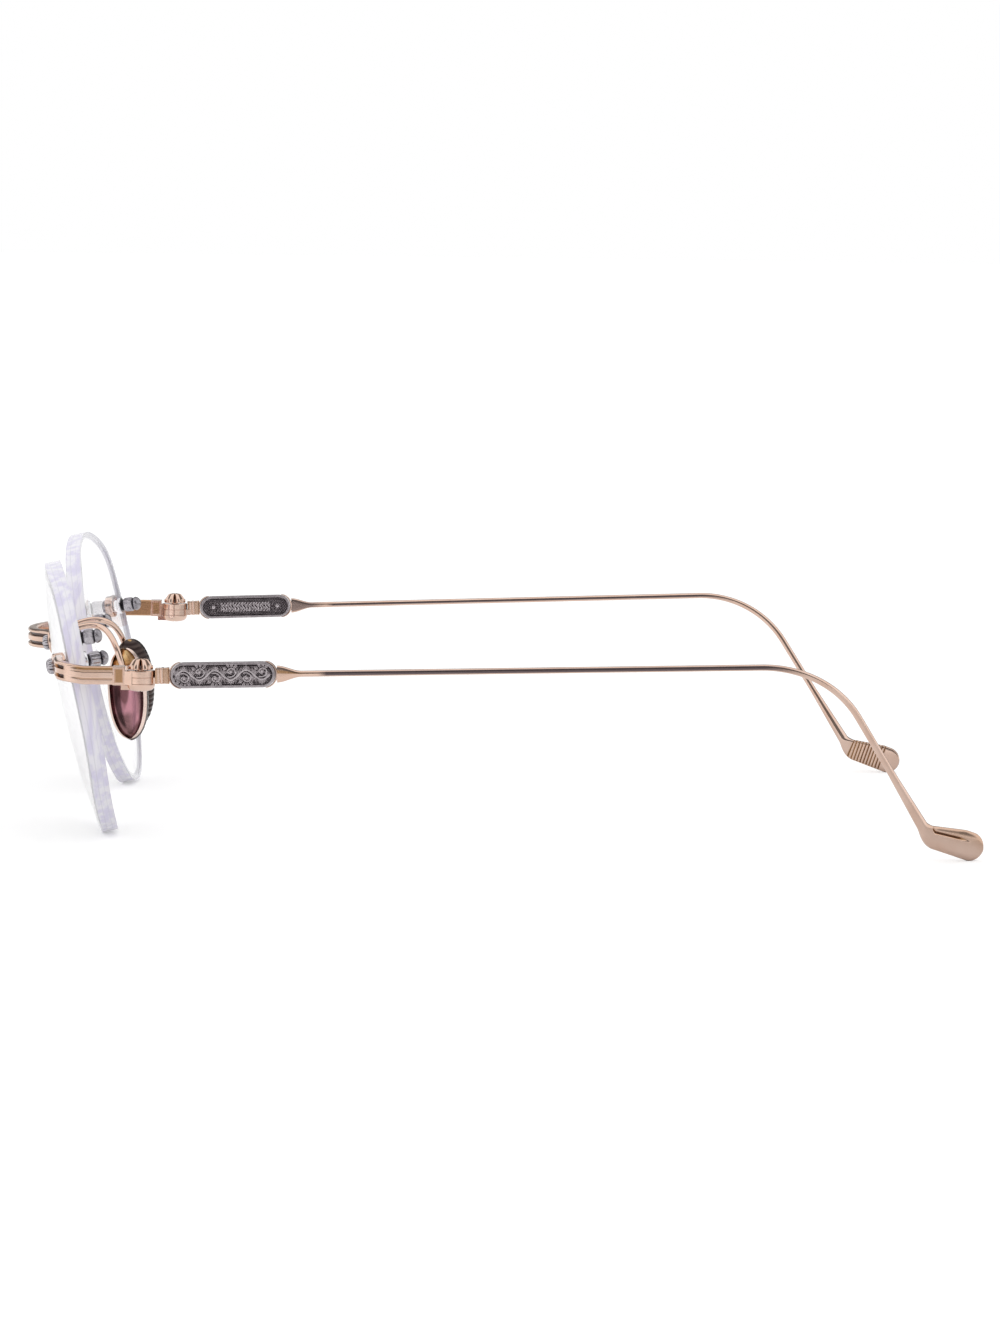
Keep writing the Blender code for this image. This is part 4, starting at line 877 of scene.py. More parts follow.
def rim_rings(end):
    """Sections of the thin rim round one end. end is -1 for the hinge's end and 1 for the wire's."""
    rings = []
    for i in range(61):
        share = 2 * i / 60 - 1
        turn = share * RIM_REACH
        fade = math.sqrt(max(0, 1 - abs(share) ** 2.5))
        rim = blend(0.00004, RIM_NOSE, fade)
        half = blend(0.00018, BEZEL_THICKNESS / 2, fade)
        spot = outline_point(turn, end, 0.00006 + rim / 2)
        normal = (outline_point(turn, end, 0.0001) - outline_point(turn, end, 0)).normalized()
        ring = []
        for x, y in superellipse(half, rim / 2, 3, 12):
            ring.append(Vector((x, PLAQUE_MIDDLE + spot.x + normal.x * y, spot.y + normal.y * y)))
        rings.append(ring)
    return rings


def rear_rim_mesh():
    bm = new_mesh()
    loft(bm, rim_rings(1))
    bm.transform(RUN_FRAME)
    return bm


both_sides("rear_rim", rear_rim_mesh, GOLD, "temple_SIDE", "rose_gold")


# Hinge
HINGE_SIDES = 72
BORE_RADIUS = 0.0006
BARREL_RADIUS = 0.0022
BARREL_HALF = 0.00155
HINGE_NUT_RADIUS = 0.0013
HINGE_NUT_HEIGHT = 0.0005
HINGE_NUT_RECESS = 0.0005
KNUCKLE_RADIUS = 0.00217
KNUCKLE_HALF = 0.0005
EAR_FLOOR = 0.00075
WEB_HALF_WIDTH = 0.0009


def backed(profile, reach=0.00003):
    """Adds a point just inside both ends of each long step, which keeps its shading straight."""
    yield profile[0]
    for near, far in zip(profile, profile[1:]):
        span = math.hypot(far[0] - near[0], far[1] - near[1])
        if span > 6 * reach and min(near[0], far[0]) > 0:
            for share in (reach / span, 1 - reach / span):
                yield tuple(blend(a, b, share) for a, b in zip(near, far))
        yield far


def add_turned(bm, profile, placed, steps=HINGE_SIDES, ring=True, lobes=0, turn_by=0.0, sharpness=1.0,
               shade=0.0):
    """Spins (radius, height), with lobe depth and hollow depth if given: painted shade on rose gold, tarnish on
    silver. shade paints shade between the lobes.
    A ring is closed through its bore."""
    cavity = bm.verts.layers.float["cavity"]
    loops = []
    for radius, height, depth, hollow in backed([(*entry, 0, 0)[:4] for entry in profile]):
        if radius == 0:
            loops.append([bm.verts.new(placed @ Vector((0, 0, height)))])
            continue
        loop = []
        for i in range(steps):
            turn = math.tau * i / steps
            between = 1 - abs(math.cos(lobes * (turn - turn_by) / 2)) ** sharpness if lobes else 0
            reach = radius * (1 - depth * between)
            vert = bm.verts.new(placed @ Vector((reach * math.cos(turn), reach * math.sin(turn), height)))
            shaded = shade * ease(between, 0.4, 0.85) * min(1, 3 * depth)
            vert[cavity] = hollow if hollow < 0 else min(1, max(hollow, shaded))
            loop.append(vert)
        loops.append(loop)
    pairs = list(zip(loops, loops[1:]))
    if ring:
        pairs.append((loops[-1], loops[0]))
    for near, far in pairs:
        join(bm, near, far)


def sized(shape, radius, base, height):
    """A turned profile in metres, from one in shares of a radius and of a height above a base."""
    return [(r * radius, base + h * height, *rest) for r, h, *rest in shape]


def absorb(bm, part, placed):
    """Copies a part's points and faces into a mesh and frees the part."""
    cavity, own = bm.verts.layers.float["cavity"], part.verts.layers.float["cavity"]
    made = {}
    for vert in part.verts:
        made[vert] = bm.verts.new(placed @ vert.co)
        made[vert][cavity] = vert[own]
    for face in part.faces:
        bm.faces.new([made[vert] for vert in face.verts])
    part.free()


def add_box(bm, low, high, placed, bevel=0.0, windows=(), inset=0.0003, depth=0.0003, hollow=0.0):
    """Cuboid with rounded edges. windows are local directions whose faces get a sunken panel with painted shade of
    strength hollow.
    """
    part = new_mesh()
    cavity = part.verts.layers.float["cavity"]
    bmesh.ops.create_cube(part, size=1.0)
    low, high = Vector(low), Vector(high)
    bmesh.ops.scale(part, vec=high - low, verts=part.verts)
    bmesh.ops.translate(part, vec=(low + high) / 2, verts=part.verts)
    if bevel:
        bmesh.ops.bevel(part, geom=part.edges[:], offset=bevel, segments=3, profile=0.5, affect="EDGES")
        flats = [face for face in part.faces if max(abs(n) for n in face.normal) > 0.999]
        bmesh.ops.inset_individual(part, faces=flats, thickness=0.00002)
    for way in windows:
        faces = [face for face in part.faces if face.normal.dot(Vector(way)) > 0.999]
        faces = [max(faces, key=lambda face: face.calc_area())]
        bmesh.ops.inset_region(part, faces=faces, thickness=inset, depth=0)
        bmesh.ops.inset_region(part, faces=faces, thickness=0.00012, depth=-depth)
        bmesh.ops.inset_region(part, faces=faces, thickness=0.00016, depth=0)
        for vert in {vert for face in faces for vert in face.verts}:
            vert[cavity] = hollow
    absorb(bm, part, placed)


def rounded_box(half_width, half_height, radius, steps=6):
    """Points round a rectangle with rounded corners and a point just off each of them."""
    points = []
    for x, y, start in ((1, 1, 0), (-1, 1, 1), (-1, -1, 2), (1, -1, 3)):
        turns = [math.pi / 2 * (start + i / steps) for i in range(steps + 1)]
        centre = Vector((x * (half_width - radius), y * (half_height - radius)))
        arc = [centre + radius * Vector((math.cos(turn), math.sin(turn))) for turn in turns]
        before = 0.00002 * Vector((math.sin(turns[0]), -math.cos(turns[0])))
        after = 0.00002 * Vector((-math.sin(turns[-1]), math.cos(turns[-1])))
        points += [arc[0] + before, *arc, arc[-1] + after]
    return points


# Steps of the neck in millimetres, as (along, half height, half thickness, painted shade)
NECK_STEPS = (
    (2.28, 1.12, 0.80, 0.8), (2.31, 1.17, 0.84, 0.45), (2.34, 1.19, 0.86, 0.38), (2.58, 1.19, 0.86, 0.30),
    (2.68, 1.19, 0.86, 0), (2.96, 1.19, 0.86, 0), (3.05, 1.16, 0.83, 0.6), (3.09, 1.20, 0.90, 0.1),
    (3.14, 1.24, 0.94, 0), (3.30, 1.26, 0.96, 0), (3.46, 1.24, 0.94, 0), (3.52, 1.20, 0.90, 0.1),
    (3.56, 1.16, 0.83, 0.6), (3.60, 1.19, 0.84, 0.25), (4.05, 1.22, 0.80, 0.22), (4.30, 1.26, 0.62, 0.4),
    (4.40, 1.22, 0.50, 0.4))
NECK_CORNER = 0.00018
KNUCKLE_EDGE = 0.00004


def neck_mesh():
    bm = new_mesh()
    rounded = KNUCKLE_RADIUS - KNUCKLE_EDGE, KNUCKLE_HALF - KNUCKLE_EDGE
    knuckle = [(BORE_RADIUS, KNUCKLE_HALF), (rounded[0], KNUCKLE_HALF), (KNUCKLE_RADIUS, rounded[1]),
               (KNUCKLE_RADIUS, -rounded[1]), (rounded[0], -KNUCKLE_HALF), (BORE_RADIUS, -KNUCKLE_HALF)]
    add_turned(bm, knuckle, HINGE)
    low, high = (-WEB_HALF_WIDTH, 0.0013, -KNUCKLE_HALF), (WEB_HALF_WIDTH, 0.0028, KNUCKLE_HALF)
    add_box(bm, low, high, HINGE, KNUCKLE_EDGE)
    side, _, up = axes_of(RUN_FRAME)
    rings, hollows = [], []
    for along, half_height, half_thickness, hollow in NECK_STEPS:
        centre = RUN_FRAME @ Vector((0, along / 1000, 0))
        points = rounded_box(half_thickness / 1000, half_height / 1000, NECK_CORNER)
        rings.append([centre + side * x + up * y for x, y in points])
        hollows.append([hollow] * len(points))
    loft(bm, rings, hollows)
    rim = new_mesh()
    loft(rim, rim_rings(-1))
    absorb(bm, rim, RUN_FRAME)
    return bm


both_sides("fine_hinge_neck", neck_mesh, GOLD, "temple_SIDE", "rose_gold", "hinge_neck")

END_FRONT_HEIGHT = 0.0034
END_SIDE_HEIGHT = 0.0028
END_BAR_THICKNESS = 0.0013
END_FRONT_RUN = 0.0040
END_CORNER_RUN = 0.0058
END_CORNER_RISE = 0.0008
END_SIDE_START = 0.0088
END_SIDE_RISE = 0.0007
END_BLOCK_START = 0.0043
END_BLOCK_LENGTH = 0.0019
END_BLOCK_BACK = 0.00235
END_BLOCK_WIDTH = 0.0022
END_BLOCK_HEIGHT = 0.0029
PLATE_RADIUS = 0.0019
PLATE_THICKNESS = 0.0017
GROOVE_SPREAD = 0.00136
GROOVE_HALF_HEIGHT = 0.00030
GROOVE_DEPTH = 0.00060
BAR_CORNER = 0.00028
WINDOW_INSET = 0.00020
WINDOW_DEPTH = 0.00008
WINDOW_SHADE = 0.52


def bezier(start, start_handle, end_handle, end, t):
    s = 1 - t
    return s ** 3 * start + 3 * s * s * t * start_handle + 3 * s * t * t * end_handle + t ** 3 * end


def bar_ring(centre, outward, up, height, thickness, deep, fine):
    """Ring of a bar and its painted shade. By their shares, the outer face has two deep grooves, or a slanted top,
    a cove, a shelf and a fine line, all with painted shade, and then the inner face has painted shade too."""
    ring, hollows = [], []
    half, out = height / 2, thickness / 2
    for face, count in ((1, 90), (-1, 14)):
        for i in range(count):
            level = half * (2 * i / (count - 1) - 1) * face * 0.999
            over = max(0, abs(level) - (half - BAR_CORNER))
            sink = BAR_CORNER - math.sqrt(max(0, BAR_CORNER ** 2 - over ** 2))
            # Painted shade on the inner face, in the grooves and in the cove, shelf and line
            hollow = 0.0 if face > 0 else 0.50 * fine
            if face > 0:
                for middle in (-GROOVE_SPREAD / 2, GROOVE_SPREAD / 2):
                    wall = ease(GROOVE_HALF_HEIGHT - abs(level - middle), 0, 0.00007)
                    sink = max(sink, deep * GROOVE_DEPTH * wall)
                    hollow = max(hollow, deep * wall)
                slant = max(0, level - half + 0.00020)
                cove = max(0, 1 - ((level - half + 0.00036) / 0.00020) ** 2)
                line = math.exp(-((level + 0.00050) / 0.00009) ** 2)
                shelf = ease(level, half - 0.00098, half - 0.00090)
                stepped = 0.00004 * shelf + 0.00010 * cove
                sink = max(sink, fine * slant, fine * stepped, fine * 0.00009 * line)
                hollow = max(hollow, fine * (0.38 * line + 0.20 * shelf + 0.45 * math.sqrt(cove)))
            ring.append(centre + (outward * (out - sink)) * face + up * level)
            hollows.append(hollow)
    return ring, hollows


def add_plate(bm, seat):
    edge = 0.0002
    profile = [(BORE_RADIUS, PLATE_TOP), (PLATE_RADIUS - edge, PLATE_TOP),
               (PLATE_RADIUS - 0.3 * edge, PLATE_TOP - 0.3 * edge), (PLATE_RADIUS, PLATE_TOP - edge),
               (PLATE_RADIUS, SEAT_GAP + edge / 2), (PLATE_RADIUS - edge / 2, SEAT_GAP),
               (BORE_RADIUS, SEAT_GAP)]
    add_turned(bm, profile, seat, 64)


def add_saddle(bm, inner, outer, low, high, placed):
    """Fills the space between the block and the barrel, hollow round the turning knuckle. inner and
    outer are how far it reaches sideways."""
    reach = BARREL_RADIUS + 0.00002
    first, last = -math.asin(inner / reach), math.asin(outer / reach)
    turns = [blend(first, last, i / 24) for i in range(25)]
    back = -END_BLOCK_BACK - 0.0001
    outline = [(reach * math.sin(turn), -reach * math.cos(turn)) for turn in turns]
    outline += [(inner, back), (-inner, back)]
    loft(bm, [[placed @ Vector((x, y, height)) for x, y in outline] for height in (low, high)])


def barrel_profiles():
    """The upper barrel and the lower one with the nut's well, both hollow round the knuckle."""
    edge, skirt, inner, line = 0.00012, 0.00053, 0.00165, 0.00002
    well, floor = HINGE_NUT_RADIUS + 0.00010, HINGE_NUT_RECESS - BARREL_HALF
    upper = [(BORE_RADIUS, EAR_FLOOR), (inner, EAR_FLOOR), (inner, skirt), (BARREL_RADIUS - line, skirt),
             (BARREL_RADIUS, skirt + line), (BARREL_RADIUS, BARREL_HALF - edge),
             (BARREL_RADIUS - 0.3 * edge, BARREL_HALF - 0.3 * edge), (BARREL_RADIUS - edge, BARREL_HALF),
             (BORE_RADIUS, BARREL_HALF)]
    lower = [(BORE_RADIUS, -EAR_FLOOR), (BORE_RADIUS, floor), (well, floor), (well, -BARREL_HALF),
             (1.66e-3, -1.50e-3), (1.88e-3, -1.34e-3), (2.06e-3, -1.12e-3), (2.17e-3, -0.88e-3),
             (BARREL_RADIUS, -0.70e-3), (BARREL_RADIUS, -skirt - line), (BARREL_RADIUS - line, -skirt),
             (inner, -skirt), (inner, -EAR_FLOOR)]
    return upper, lower


def end_piece_mesh():
    bm = new_mesh()
    seat = FRONT.inverted() @ TEMPORAL_SEAT
    hinge = Vector((HINGE_AT.x, 0, HINGE_AT.z))
    first = seat @ Vector((0, 0, SEAT_GAP + PLATE_THICKNESS / 2))
    seat_side, seat_up, seat_outward = axes_of(seat)
    bar_height = hinge.z + END_SIDE_RISE
    corner_end = Vector((hinge.x, -END_SIDE_START, bar_height))
    corner_handle = corner_end + Vector((0, -END_CORNER_RUN, END_CORNER_RISE))
    handles = (first, first + seat_side * END_FRONT_RUN, corner_handle, corner_end)
    upright = Vector((0, 0, 1))
    sections = []
    steps = 72
    for i in range(steps + 1):
        t = i / steps
        centre = bezier(*handles, t)
        ahead = bezier(*handles, t + 0.01) - centre
        up = blend(seat_up, upright, smooth(t)).normalized()
        outward = blend(seat_outward, ahead.cross(up).normalized(), min(1, 4 * t)).normalized()
        height = blend(END_FRONT_HEIGHT, END_SIDE_HEIGHT, smooth(t))
        # Painted shade in the corner's grooves and the side bar's fine profile; the block's windows get painted
        # shade too
        deep = ease(t, 0.42, 0.47) * ease(-t, -0.80, -0.75)
        sections.append(bar_ring(centre, outward, up, height, END_BAR_THICKNESS, deep, ease(t, 0.88, 0.96)))
    block_middle = Vector((hinge.x, 0.5 * END_BLOCK_LENGTH - END_BLOCK_START, bar_height))
    for along in (0.2, 0.4, 0.6, 0.8, 1.0):
        centre = blend(corner_end, block_middle, along)
        section = bar_ring(centre, Vector((1, 0, 0)), upright, END_SIDE_HEIGHT, END_BAR_THICKNESS, 0, 1)
        sections.append(section)
    loft(bm, *zip(*sections))
    add_plate(bm, seat)
    half_width, half_height = END_BLOCK_WIDTH / 2, END_BLOCK_HEIGHT / 2
    add_box(bm, (hinge.x - half_width, -END_BLOCK_START, bar_height - half_height),
            (hinge.x + half_width, -END_BLOCK_BACK, bar_height + half_height),
            Matrix(), 0.00013, ((1, 0, 0), (-1, 0, 0)), WINDOW_INSET, WINDOW_DEPTH, WINDOW_SHADE)
    axis = Matrix.Translation(hinge)
    for profile in barrel_profiles():
        add_turned(bm, profile, axis)
    for low, high in ((EAR_FLOOR, BARREL_HALF - 0.0001), (0.0001 - BARREL_HALF, -EAR_FLOOR)):
        add_box(bm, (-WEB_HALF_WIDTH, -0.0030, low), (WEB_HALF_WIDTH, -0.0008, high), axis)
    low, high = END_SIDE_RISE - half_height + 0.0001, BARREL_HALF - 0.00012
    add_saddle(bm, half_width - 0.00001, 0.00180, low, high, axis)
    bm.transform(FRONT)
    return bm


both_sides("fine_end_piece", end_piece_mesh, GOLD, "front", "rose_gold", "end_piece")

# Screws, nuts and caps. Their profiles are (share of the radius, share of the height, lobe depth, hollow: painted
# shade on rose gold, tarnish on silver).
CAP_RADIUS = 0.0019
CAP_HEIGHT = 0.0016
CAP_PETALS = (
    (0, 0.90, 0, 1), (0.12, 0.92, 0.20, 0.6), (0.22, 0.98, 0.45), (0.36, 1.00, 0.56), (0.48, 0.985, 0.60),
    (0.57, 0.94, 0.62), (0.64, 0.85, 0.64), (0.71, 0.73, 0.66), (0.79, 0.59, 0.68), (0.86, 0.46, 0.68),
    (0.91, 0.34, 0.68), (0.945, 0.22, 0.68), (0.965, 0.10, 0.68), (0.94, 0.0, 0.66))
CAP_COLLAR = (
    (0.36, 0.0), (0.36, 0.28), (0.70, 0.31, 0.22), (0.84, 0.36, 0.32), (0.94, 0.39, 0.40),
    (0.985, 0.36, 0.43), (1.00, 0.30, 0.44), (1.00, 0.07, 0.44), (0.985, 0.02, 0.44), (0.96, 0.0, 0.44))
HINGE_NUT_DOME = ((1.0, 0.0), (1.0, 0.62), (0.97, 0.74), (0.88, 0.86), (0.70, 0.95), (0.40, 0.99))
ROSETTE = (
    (0, 1.00, 0), (0.14, 0.98, 0), (0.26, 0.90, 0), (0.32, 0.78, 0.05), (0.35, 0.62, 0.10, 1),
    (0.40, 0.64, 0.18, 1), (0.50, 0.78, 0.20), (0.62, 0.84, 0.20), (0.75, 0.80, 0.21), (0.87, 0.68, 0.22),
    (0.95, 0.50, 0.23), (1.00, 0.30, 0.23), (0.99, 0.12, 0.22), (0.93, 0.0, 0.20, 0.5))
# This one is in millimetres, outward and back from the lens
CAP_NUT = (
    (0.60, 0.0, 0, -1), (1.38, 0.0, 0, -1), (1.46, 0.05, 0, -1), (1.50, 0.12, 0, -1), (1.50, 0.38, 0, -1),
    (1.42, 0.50, 0, -1), (1.12, 0.56, 0, 0.6), (0.94, 0.66, 0, 1), (0.92, 0.86, 0, 1),
    (1.00, 1.00, 0.02, 0.7), (1.14, 1.10, 0.05), (1.22, 1.26, 0.10, 0.15), (1.24, 1.50, 0.14, 0.15),
    (1.24, 2.30, 0.14, 0.15), (1.20, 2.52, 0.10, 0.2), (1.08, 2.62, 0.03, 0.9), (1.00, 2.72, 0, 1),
    (1.02, 2.84, 0, 1), (1.14, 2.94, 0, 0.6), (1.19, 3.06, 0, 0.35), (1.16, 3.28, 0, 0.35),
    (1.04, 3.52, 0, 0.35), (0.84, 3.74, 0, 0.3), (0.58, 3.90, 0, 0.3), (0.28, 3.98, 0, 0.3),
    (0, 4.00, 0, 0.3))
SHANK_BEHIND_LENS = 0.0030
CAP_NUT_BORE = 0.0034
# Height of the hinge nut's upper face, in the recess under the barrel, and of the screw's end in the nut
NUT_FACE = -BARREL_HALF + HINGE_NUT_RECESS - SEAT_GAP
HINGE_SCREW_END = NUT_FACE - 0.3 * HINGE_NUT_HEIGHT


def add_screw(bm, head, end, placed, steps, **lobes):
    """Head from a profile that ends at its underside, with a plain shank below it."""
    profile = [*head, (SHANK_RADIUS, head[-1][1], 0), (SHANK_RADIUS, end, 0), (0, end, 0)]
    add_turned(bm, profile, placed, steps, ring=False, **lobes)


def hinge_screw_mesh():
    """Screw with a notched collar, over which six petals meet in a flat head."""
    bm = new_mesh()
    top = BARREL_HALF + SEAT_GAP
    petals, collar = (sized(shape, CAP_RADIUS, top, CAP_HEIGHT) for shape in (CAP_PETALS, CAP_COLLAR))
    # Painted shade between the petals, at the cap's centre and in the collar's notches
    add_screw(bm, petals, HINGE_SCREW_END, HINGE, 144, lobes=6, turn_by=math.pi / 6, sharpness=0.8, shade=1.2)
    add_turned(bm, collar, HINGE, 128, lobes=2, turn_by=math.pi / 2, sharpness=3.0, shade=1.0)
    return bm


def hinge_nut_mesh():
    """Nut with a domed, slotted end, seen from below in its recess."""
    bm = new_mesh()
    bore_end = HINGE_SCREW_END - SEAT_GAP
    profile = [(0, bore_end), (BORE_RADIUS, bore_end), (BORE_RADIUS, NUT_FACE)]
    profile += sized(HINGE_NUT_DOME, HINGE_NUT_RADIUS, NUT_FACE, -HINGE_NUT_HEIGHT)
    profile.append((0, NUT_FACE - HINGE_NUT_HEIGHT))
    add_turned(bm, profile, HINGE, 96, ring=False)
    cavity = bm.verts.layers.float["cavity"]
    for vert in bm.verts:
        local = vert.co - HINGE.translation
        # Painted shade in the slot
        if local.z < NUT_FACE - 0.7 * HINGE_NUT_HEIGHT and abs(local.y) < 0.00012:
            vert.co.z += 0.00006
            vert[cavity] = 0.7
    return bm


def rosette_mesh(seat):
    bm = new_mesh()
    head = sized(ROSETTE, ROSETTE_RADIUS, PLATE_TOP + SEAT_GAP, ROSETTE_HEIGHT)
    end = -LENS_THICKNESS - SEAT_GAP - SHANK_BEHIND_LENS
    add_screw(bm, head, end, seat, 128, lobes=8, sharpness=0.6, shade=1.0)
    return bm


def cap_nut_mesh(seat):
    """Flanged nut with a waisted neck, eight flutes, a ring groove and a domed end."""
    bm = new_mesh()
    base = -LENS_THICKNESS - SEAT_GAP
    bore_end = base - CAP_NUT_BORE - SEAT_GAP
    profile = [(0, bore_end), (BORE_RADIUS, bore_end), *sized(CAP_NUT, 0.001, base, -0.001)]
    add_turned(bm, profile, seat, 96, ring=False, lobes=8, sharpness=1.6, shade=0.5)
    return bm


both_sides("lobed_hinge_screw", hinge_screw_mesh, GOLD, "front", "rose_gold", "hinge_screw")
both_sides("domed_hinge_nut", hinge_nut_mesh, GOLD, "front", "rose_gold", "hinge_nut")
SILVER_PARTS = old_silver("silver_fastener", (0.60, 0.57, 0.60), (0.24, 0.22, 0.25))
for place_name, place_seat in (("temporal", TEMPORAL_SEAT), ("nasal", NASAL_SEAT)):
    both_sides("rosette_screw_" + place_name, lambda: rosette_mesh(place_seat), SILVER_PARTS, "front",
               "oxidised_silver", "mount_screw_" + place_name)
    both_sides("fluted_nut_" + place_name, lambda: cap_nut_mesh(place_seat), SILVER_PARTS, "front",
               "oxidised_silver", "cap_nut_" + place_name)


# Bridge
BRIDGE_REACH = 0.0217
BRIDGE_HEIGHT = 0.0030
BRIDGE_THICKNESS = 0.0016
BRIDGE_FOOT_THICKNESS = 0.0012
BRIDGE_BELOW_MOUNT = 0.0004
BRIDGE_CROWN_RUN = 0.0090
BRIDGE_FOOT_RUN = 0.0045


def bridge_station(t):
    """Centre, outward and up directions of the left half, from its crown at 0 to its foot at 1."""
    seat = FRONT.inverted() @ NASAL_SEAT
    crown = Vector((0, -BRIDGE_REACH + BRIDGE_THICKNESS / 2, seat.translation.z - BRIDGE_BELOW_MOUNT))
    foot = seat @ Vector((0, 0, SEAT_GAP + PLATE_THICKNESS / 2))
    seat_side, seat_up, seat_outward = axes_of(seat)
    points = crown, crown + Vector((BRIDGE_CROWN_RUN, 0, 0)), foot - seat_side * BRIDGE_FOOT_RUN, foot
    centre = bezier(*points, t)
    if t == 0:
        return centre, Vector((0, -1, 0)), Vector((0, 0, 1))
    if t == 1:
        return centre, seat_outward, seat_up
    ahead = bezier(*points, t + 0.01) - bezier(*points, t - 0.01)
    up = blend(Vector((0, 0, 1)), seat_up, smooth(t)).normalized()
    return centre, ahead.cross(up).normalized(), up


def bridge_thickness(t):
    return blend(BRIDGE_THICKNESS, BRIDGE_FOOT_THICKNESS, smooth(t))


def bridge_mesh():
    bm = new_mesh()
    sections = []
    steps = 40
    for i in range(-steps, steps + 1):
        t = abs(i) / steps
        deep = ease(-t, -0.90, -0.84)
        ring, hollow = bar_ring(*bridge_station(t), BRIDGE_HEIGHT, bridge_thickness(t), deep, 0)
        if i > 0:
            ring = [Vector((-p.x, p.y, p.z)) for p in ring]
        # Painted shade towards the bridge's crown, besides that in its grooves
        sections.append((ring, [max(value, 0.30 * ease(-t, -0.60, -0.10)) for value in hollow]))
    loft(bm, *zip(*sections))
    seat = FRONT.inverted() @ NASAL_SEAT
    add_plate(bm, seat)
    add_plate(bm, FLIP_X @ seat)
    bm.transform(FRONT)
    return bm


make_piece("fine_bridge", bridge_mesh(), GOLD, "front", "rose_gold", "bridge")


# Nose pads and their arms
PAD_SPACING = 0.0200
PAD_BEHIND = 0.0048
PAD_CENTRE_HEIGHT = 0.0198
PAD_LENGTH = 0.0150
PAD_WIDTH = 0.0076
PAD_DEPTH = 0.0026
PAD_WALL = 0.0005
PAD_SPLAY = math.radians(30)
PAD_FLARE = math.radians(10)
PAD_LEAN = math.radians(10)
PAD_SQUARENESS = 2.2
PAD_RIB = 0.00009
PAD_RIB_PITCH = 0.00083
PAD_PIVOT_RISE = 0.0033
LUG_THICKNESS = 0.0010
LUG_HEIGHT = 0.0017
BOX_WALL = 0.00045
BOX_HEIGHT = 0.0024
BOX_DEPTH = 0.0017
BOX_CLEARANCE = 0.0001
ARM_RADIUS = 0.0005
ARM_ROOT_ALONG_BRIDGE = 0.42
ARM_PULL = 0.0028
ARM_END_PULL = 0.0048
ARM_CREST_SIDE = 0.0060
ARM_CREST_BEHIND = 0.0108
ARM_CREST_ABOVE_MOUNT = 0.0018
ARM_LEAN = 0.45


def pad_frame():
    turn = Matrix.Rotation(PAD_LEAN, 4, "X") @ Matrix.Rotation(-PAD_SPLAY, 4, "Z")
    turn = turn @ Matrix.Rotation(-PAD_FLARE, 4, "Y")
    centre = Vector((PAD_SPACING / 2, -PAD_BEHIND, PAD_CENTRE_HEIGHT))
    return FRONT @ Matrix.Translation(centre) @ turn @ Matrix.Translation((0, 0, PAD_PIVOT_RISE))


PAD_FRAME = pad_frame()


def pad_mesh():
    """Thin shell cup: fine ribs across its skin side, a rounded rim and a smooth hollow."""
    bm = new_mesh()
    cup_level, rim_level, upper_level, rib_and_side_shade_level = (
        bm.verts.layers.float.new(name) for name in ("cup", "rim", "upper", "rib"))
    rows, points = 190, 34
    turns = [math.pi * k / (points - 1) for k in range(points)]
    loops = []
    for i in range(1, rows):
        level = math.sin(math.pi / 2 * (2 * i / rows - 1))
        spread = (1 - abs(level) ** PAD_SQUARENESS) ** (1 / PAD_SQUARENESS)
        half_width = PAD_WIDTH / 2 * spread
        depth = PAD_DEPTH * spread ** 0.7
        wall = min(PAD_WALL, 0.4 * half_width)
        height = level * PAD_LENGTH / 2 - PAD_PIVOT_RISE
        wave = math.cos(math.tau * height / PAD_RIB_PITCH)
        loop = []
        for turn in turns:
            swell = math.sin(turn)
            rib = PAD_RIB * wave * min(1, spread * 1.4) * min(1, swell * 2.5)
            out = (depth - PAD_RIB + rib) * swell
            vert = bm.verts.new((-out, half_width * math.cos(turn), height - 0.35 * swell * PAD_RIB_PITCH))
            # Painted shade between the ribs
            vert[rib_and_side_shade_level] = 0.5 - 0.5 * wave
            loop.append(vert)
        for turn in reversed(turns):
            across = math.cos(turn)
            sunk = max(0, depth - PAD_WALL) * math.sin(turn)
            vert = bm.verts.new((wall * 0.4 - sunk, (half_width - wall) * across, height))
            vert[cup_level] = 1.0
            # Painted shade on one side of the hollow above and on the other side below
            behind = ease(across, -0.1, 0.6) * ease(height, -0.0078, -0.0062)
            below = ease(-across, -0.3, 0.5) * ease(-height, 0.0058, 0.0072)
            vert[rib_and_side_shade_level] = max(behind, below)
            loop.append(vert)
        for end in (0, points - 1, points, 2 * points - 1):
            loop[end][rim_level] = 1.0
        for vert in loop:
            vert[upper_level] = ease(height, -0.0012, 0.0012)
        loops.append(loop)
    for near, far in zip(loops, loops[1:]):
        join(bm, near, far)
    for loop in (loops[0], loops[-1]):
        bm.faces.new(loop)
    side, tall = LUG_THICKNESS / 2, LUG_HEIGHT / 2
    lug_end = BOX_DEPTH / 2 - BOX_WALL - BOX_CLEARANCE
    add_box(bm, (PAD_WALL / 2 - PAD_DEPTH, -side, -tall), (lug_end, side, tall), Matrix(), 0.0002)
    bm.transform(PAD_FRAME)
    return bm


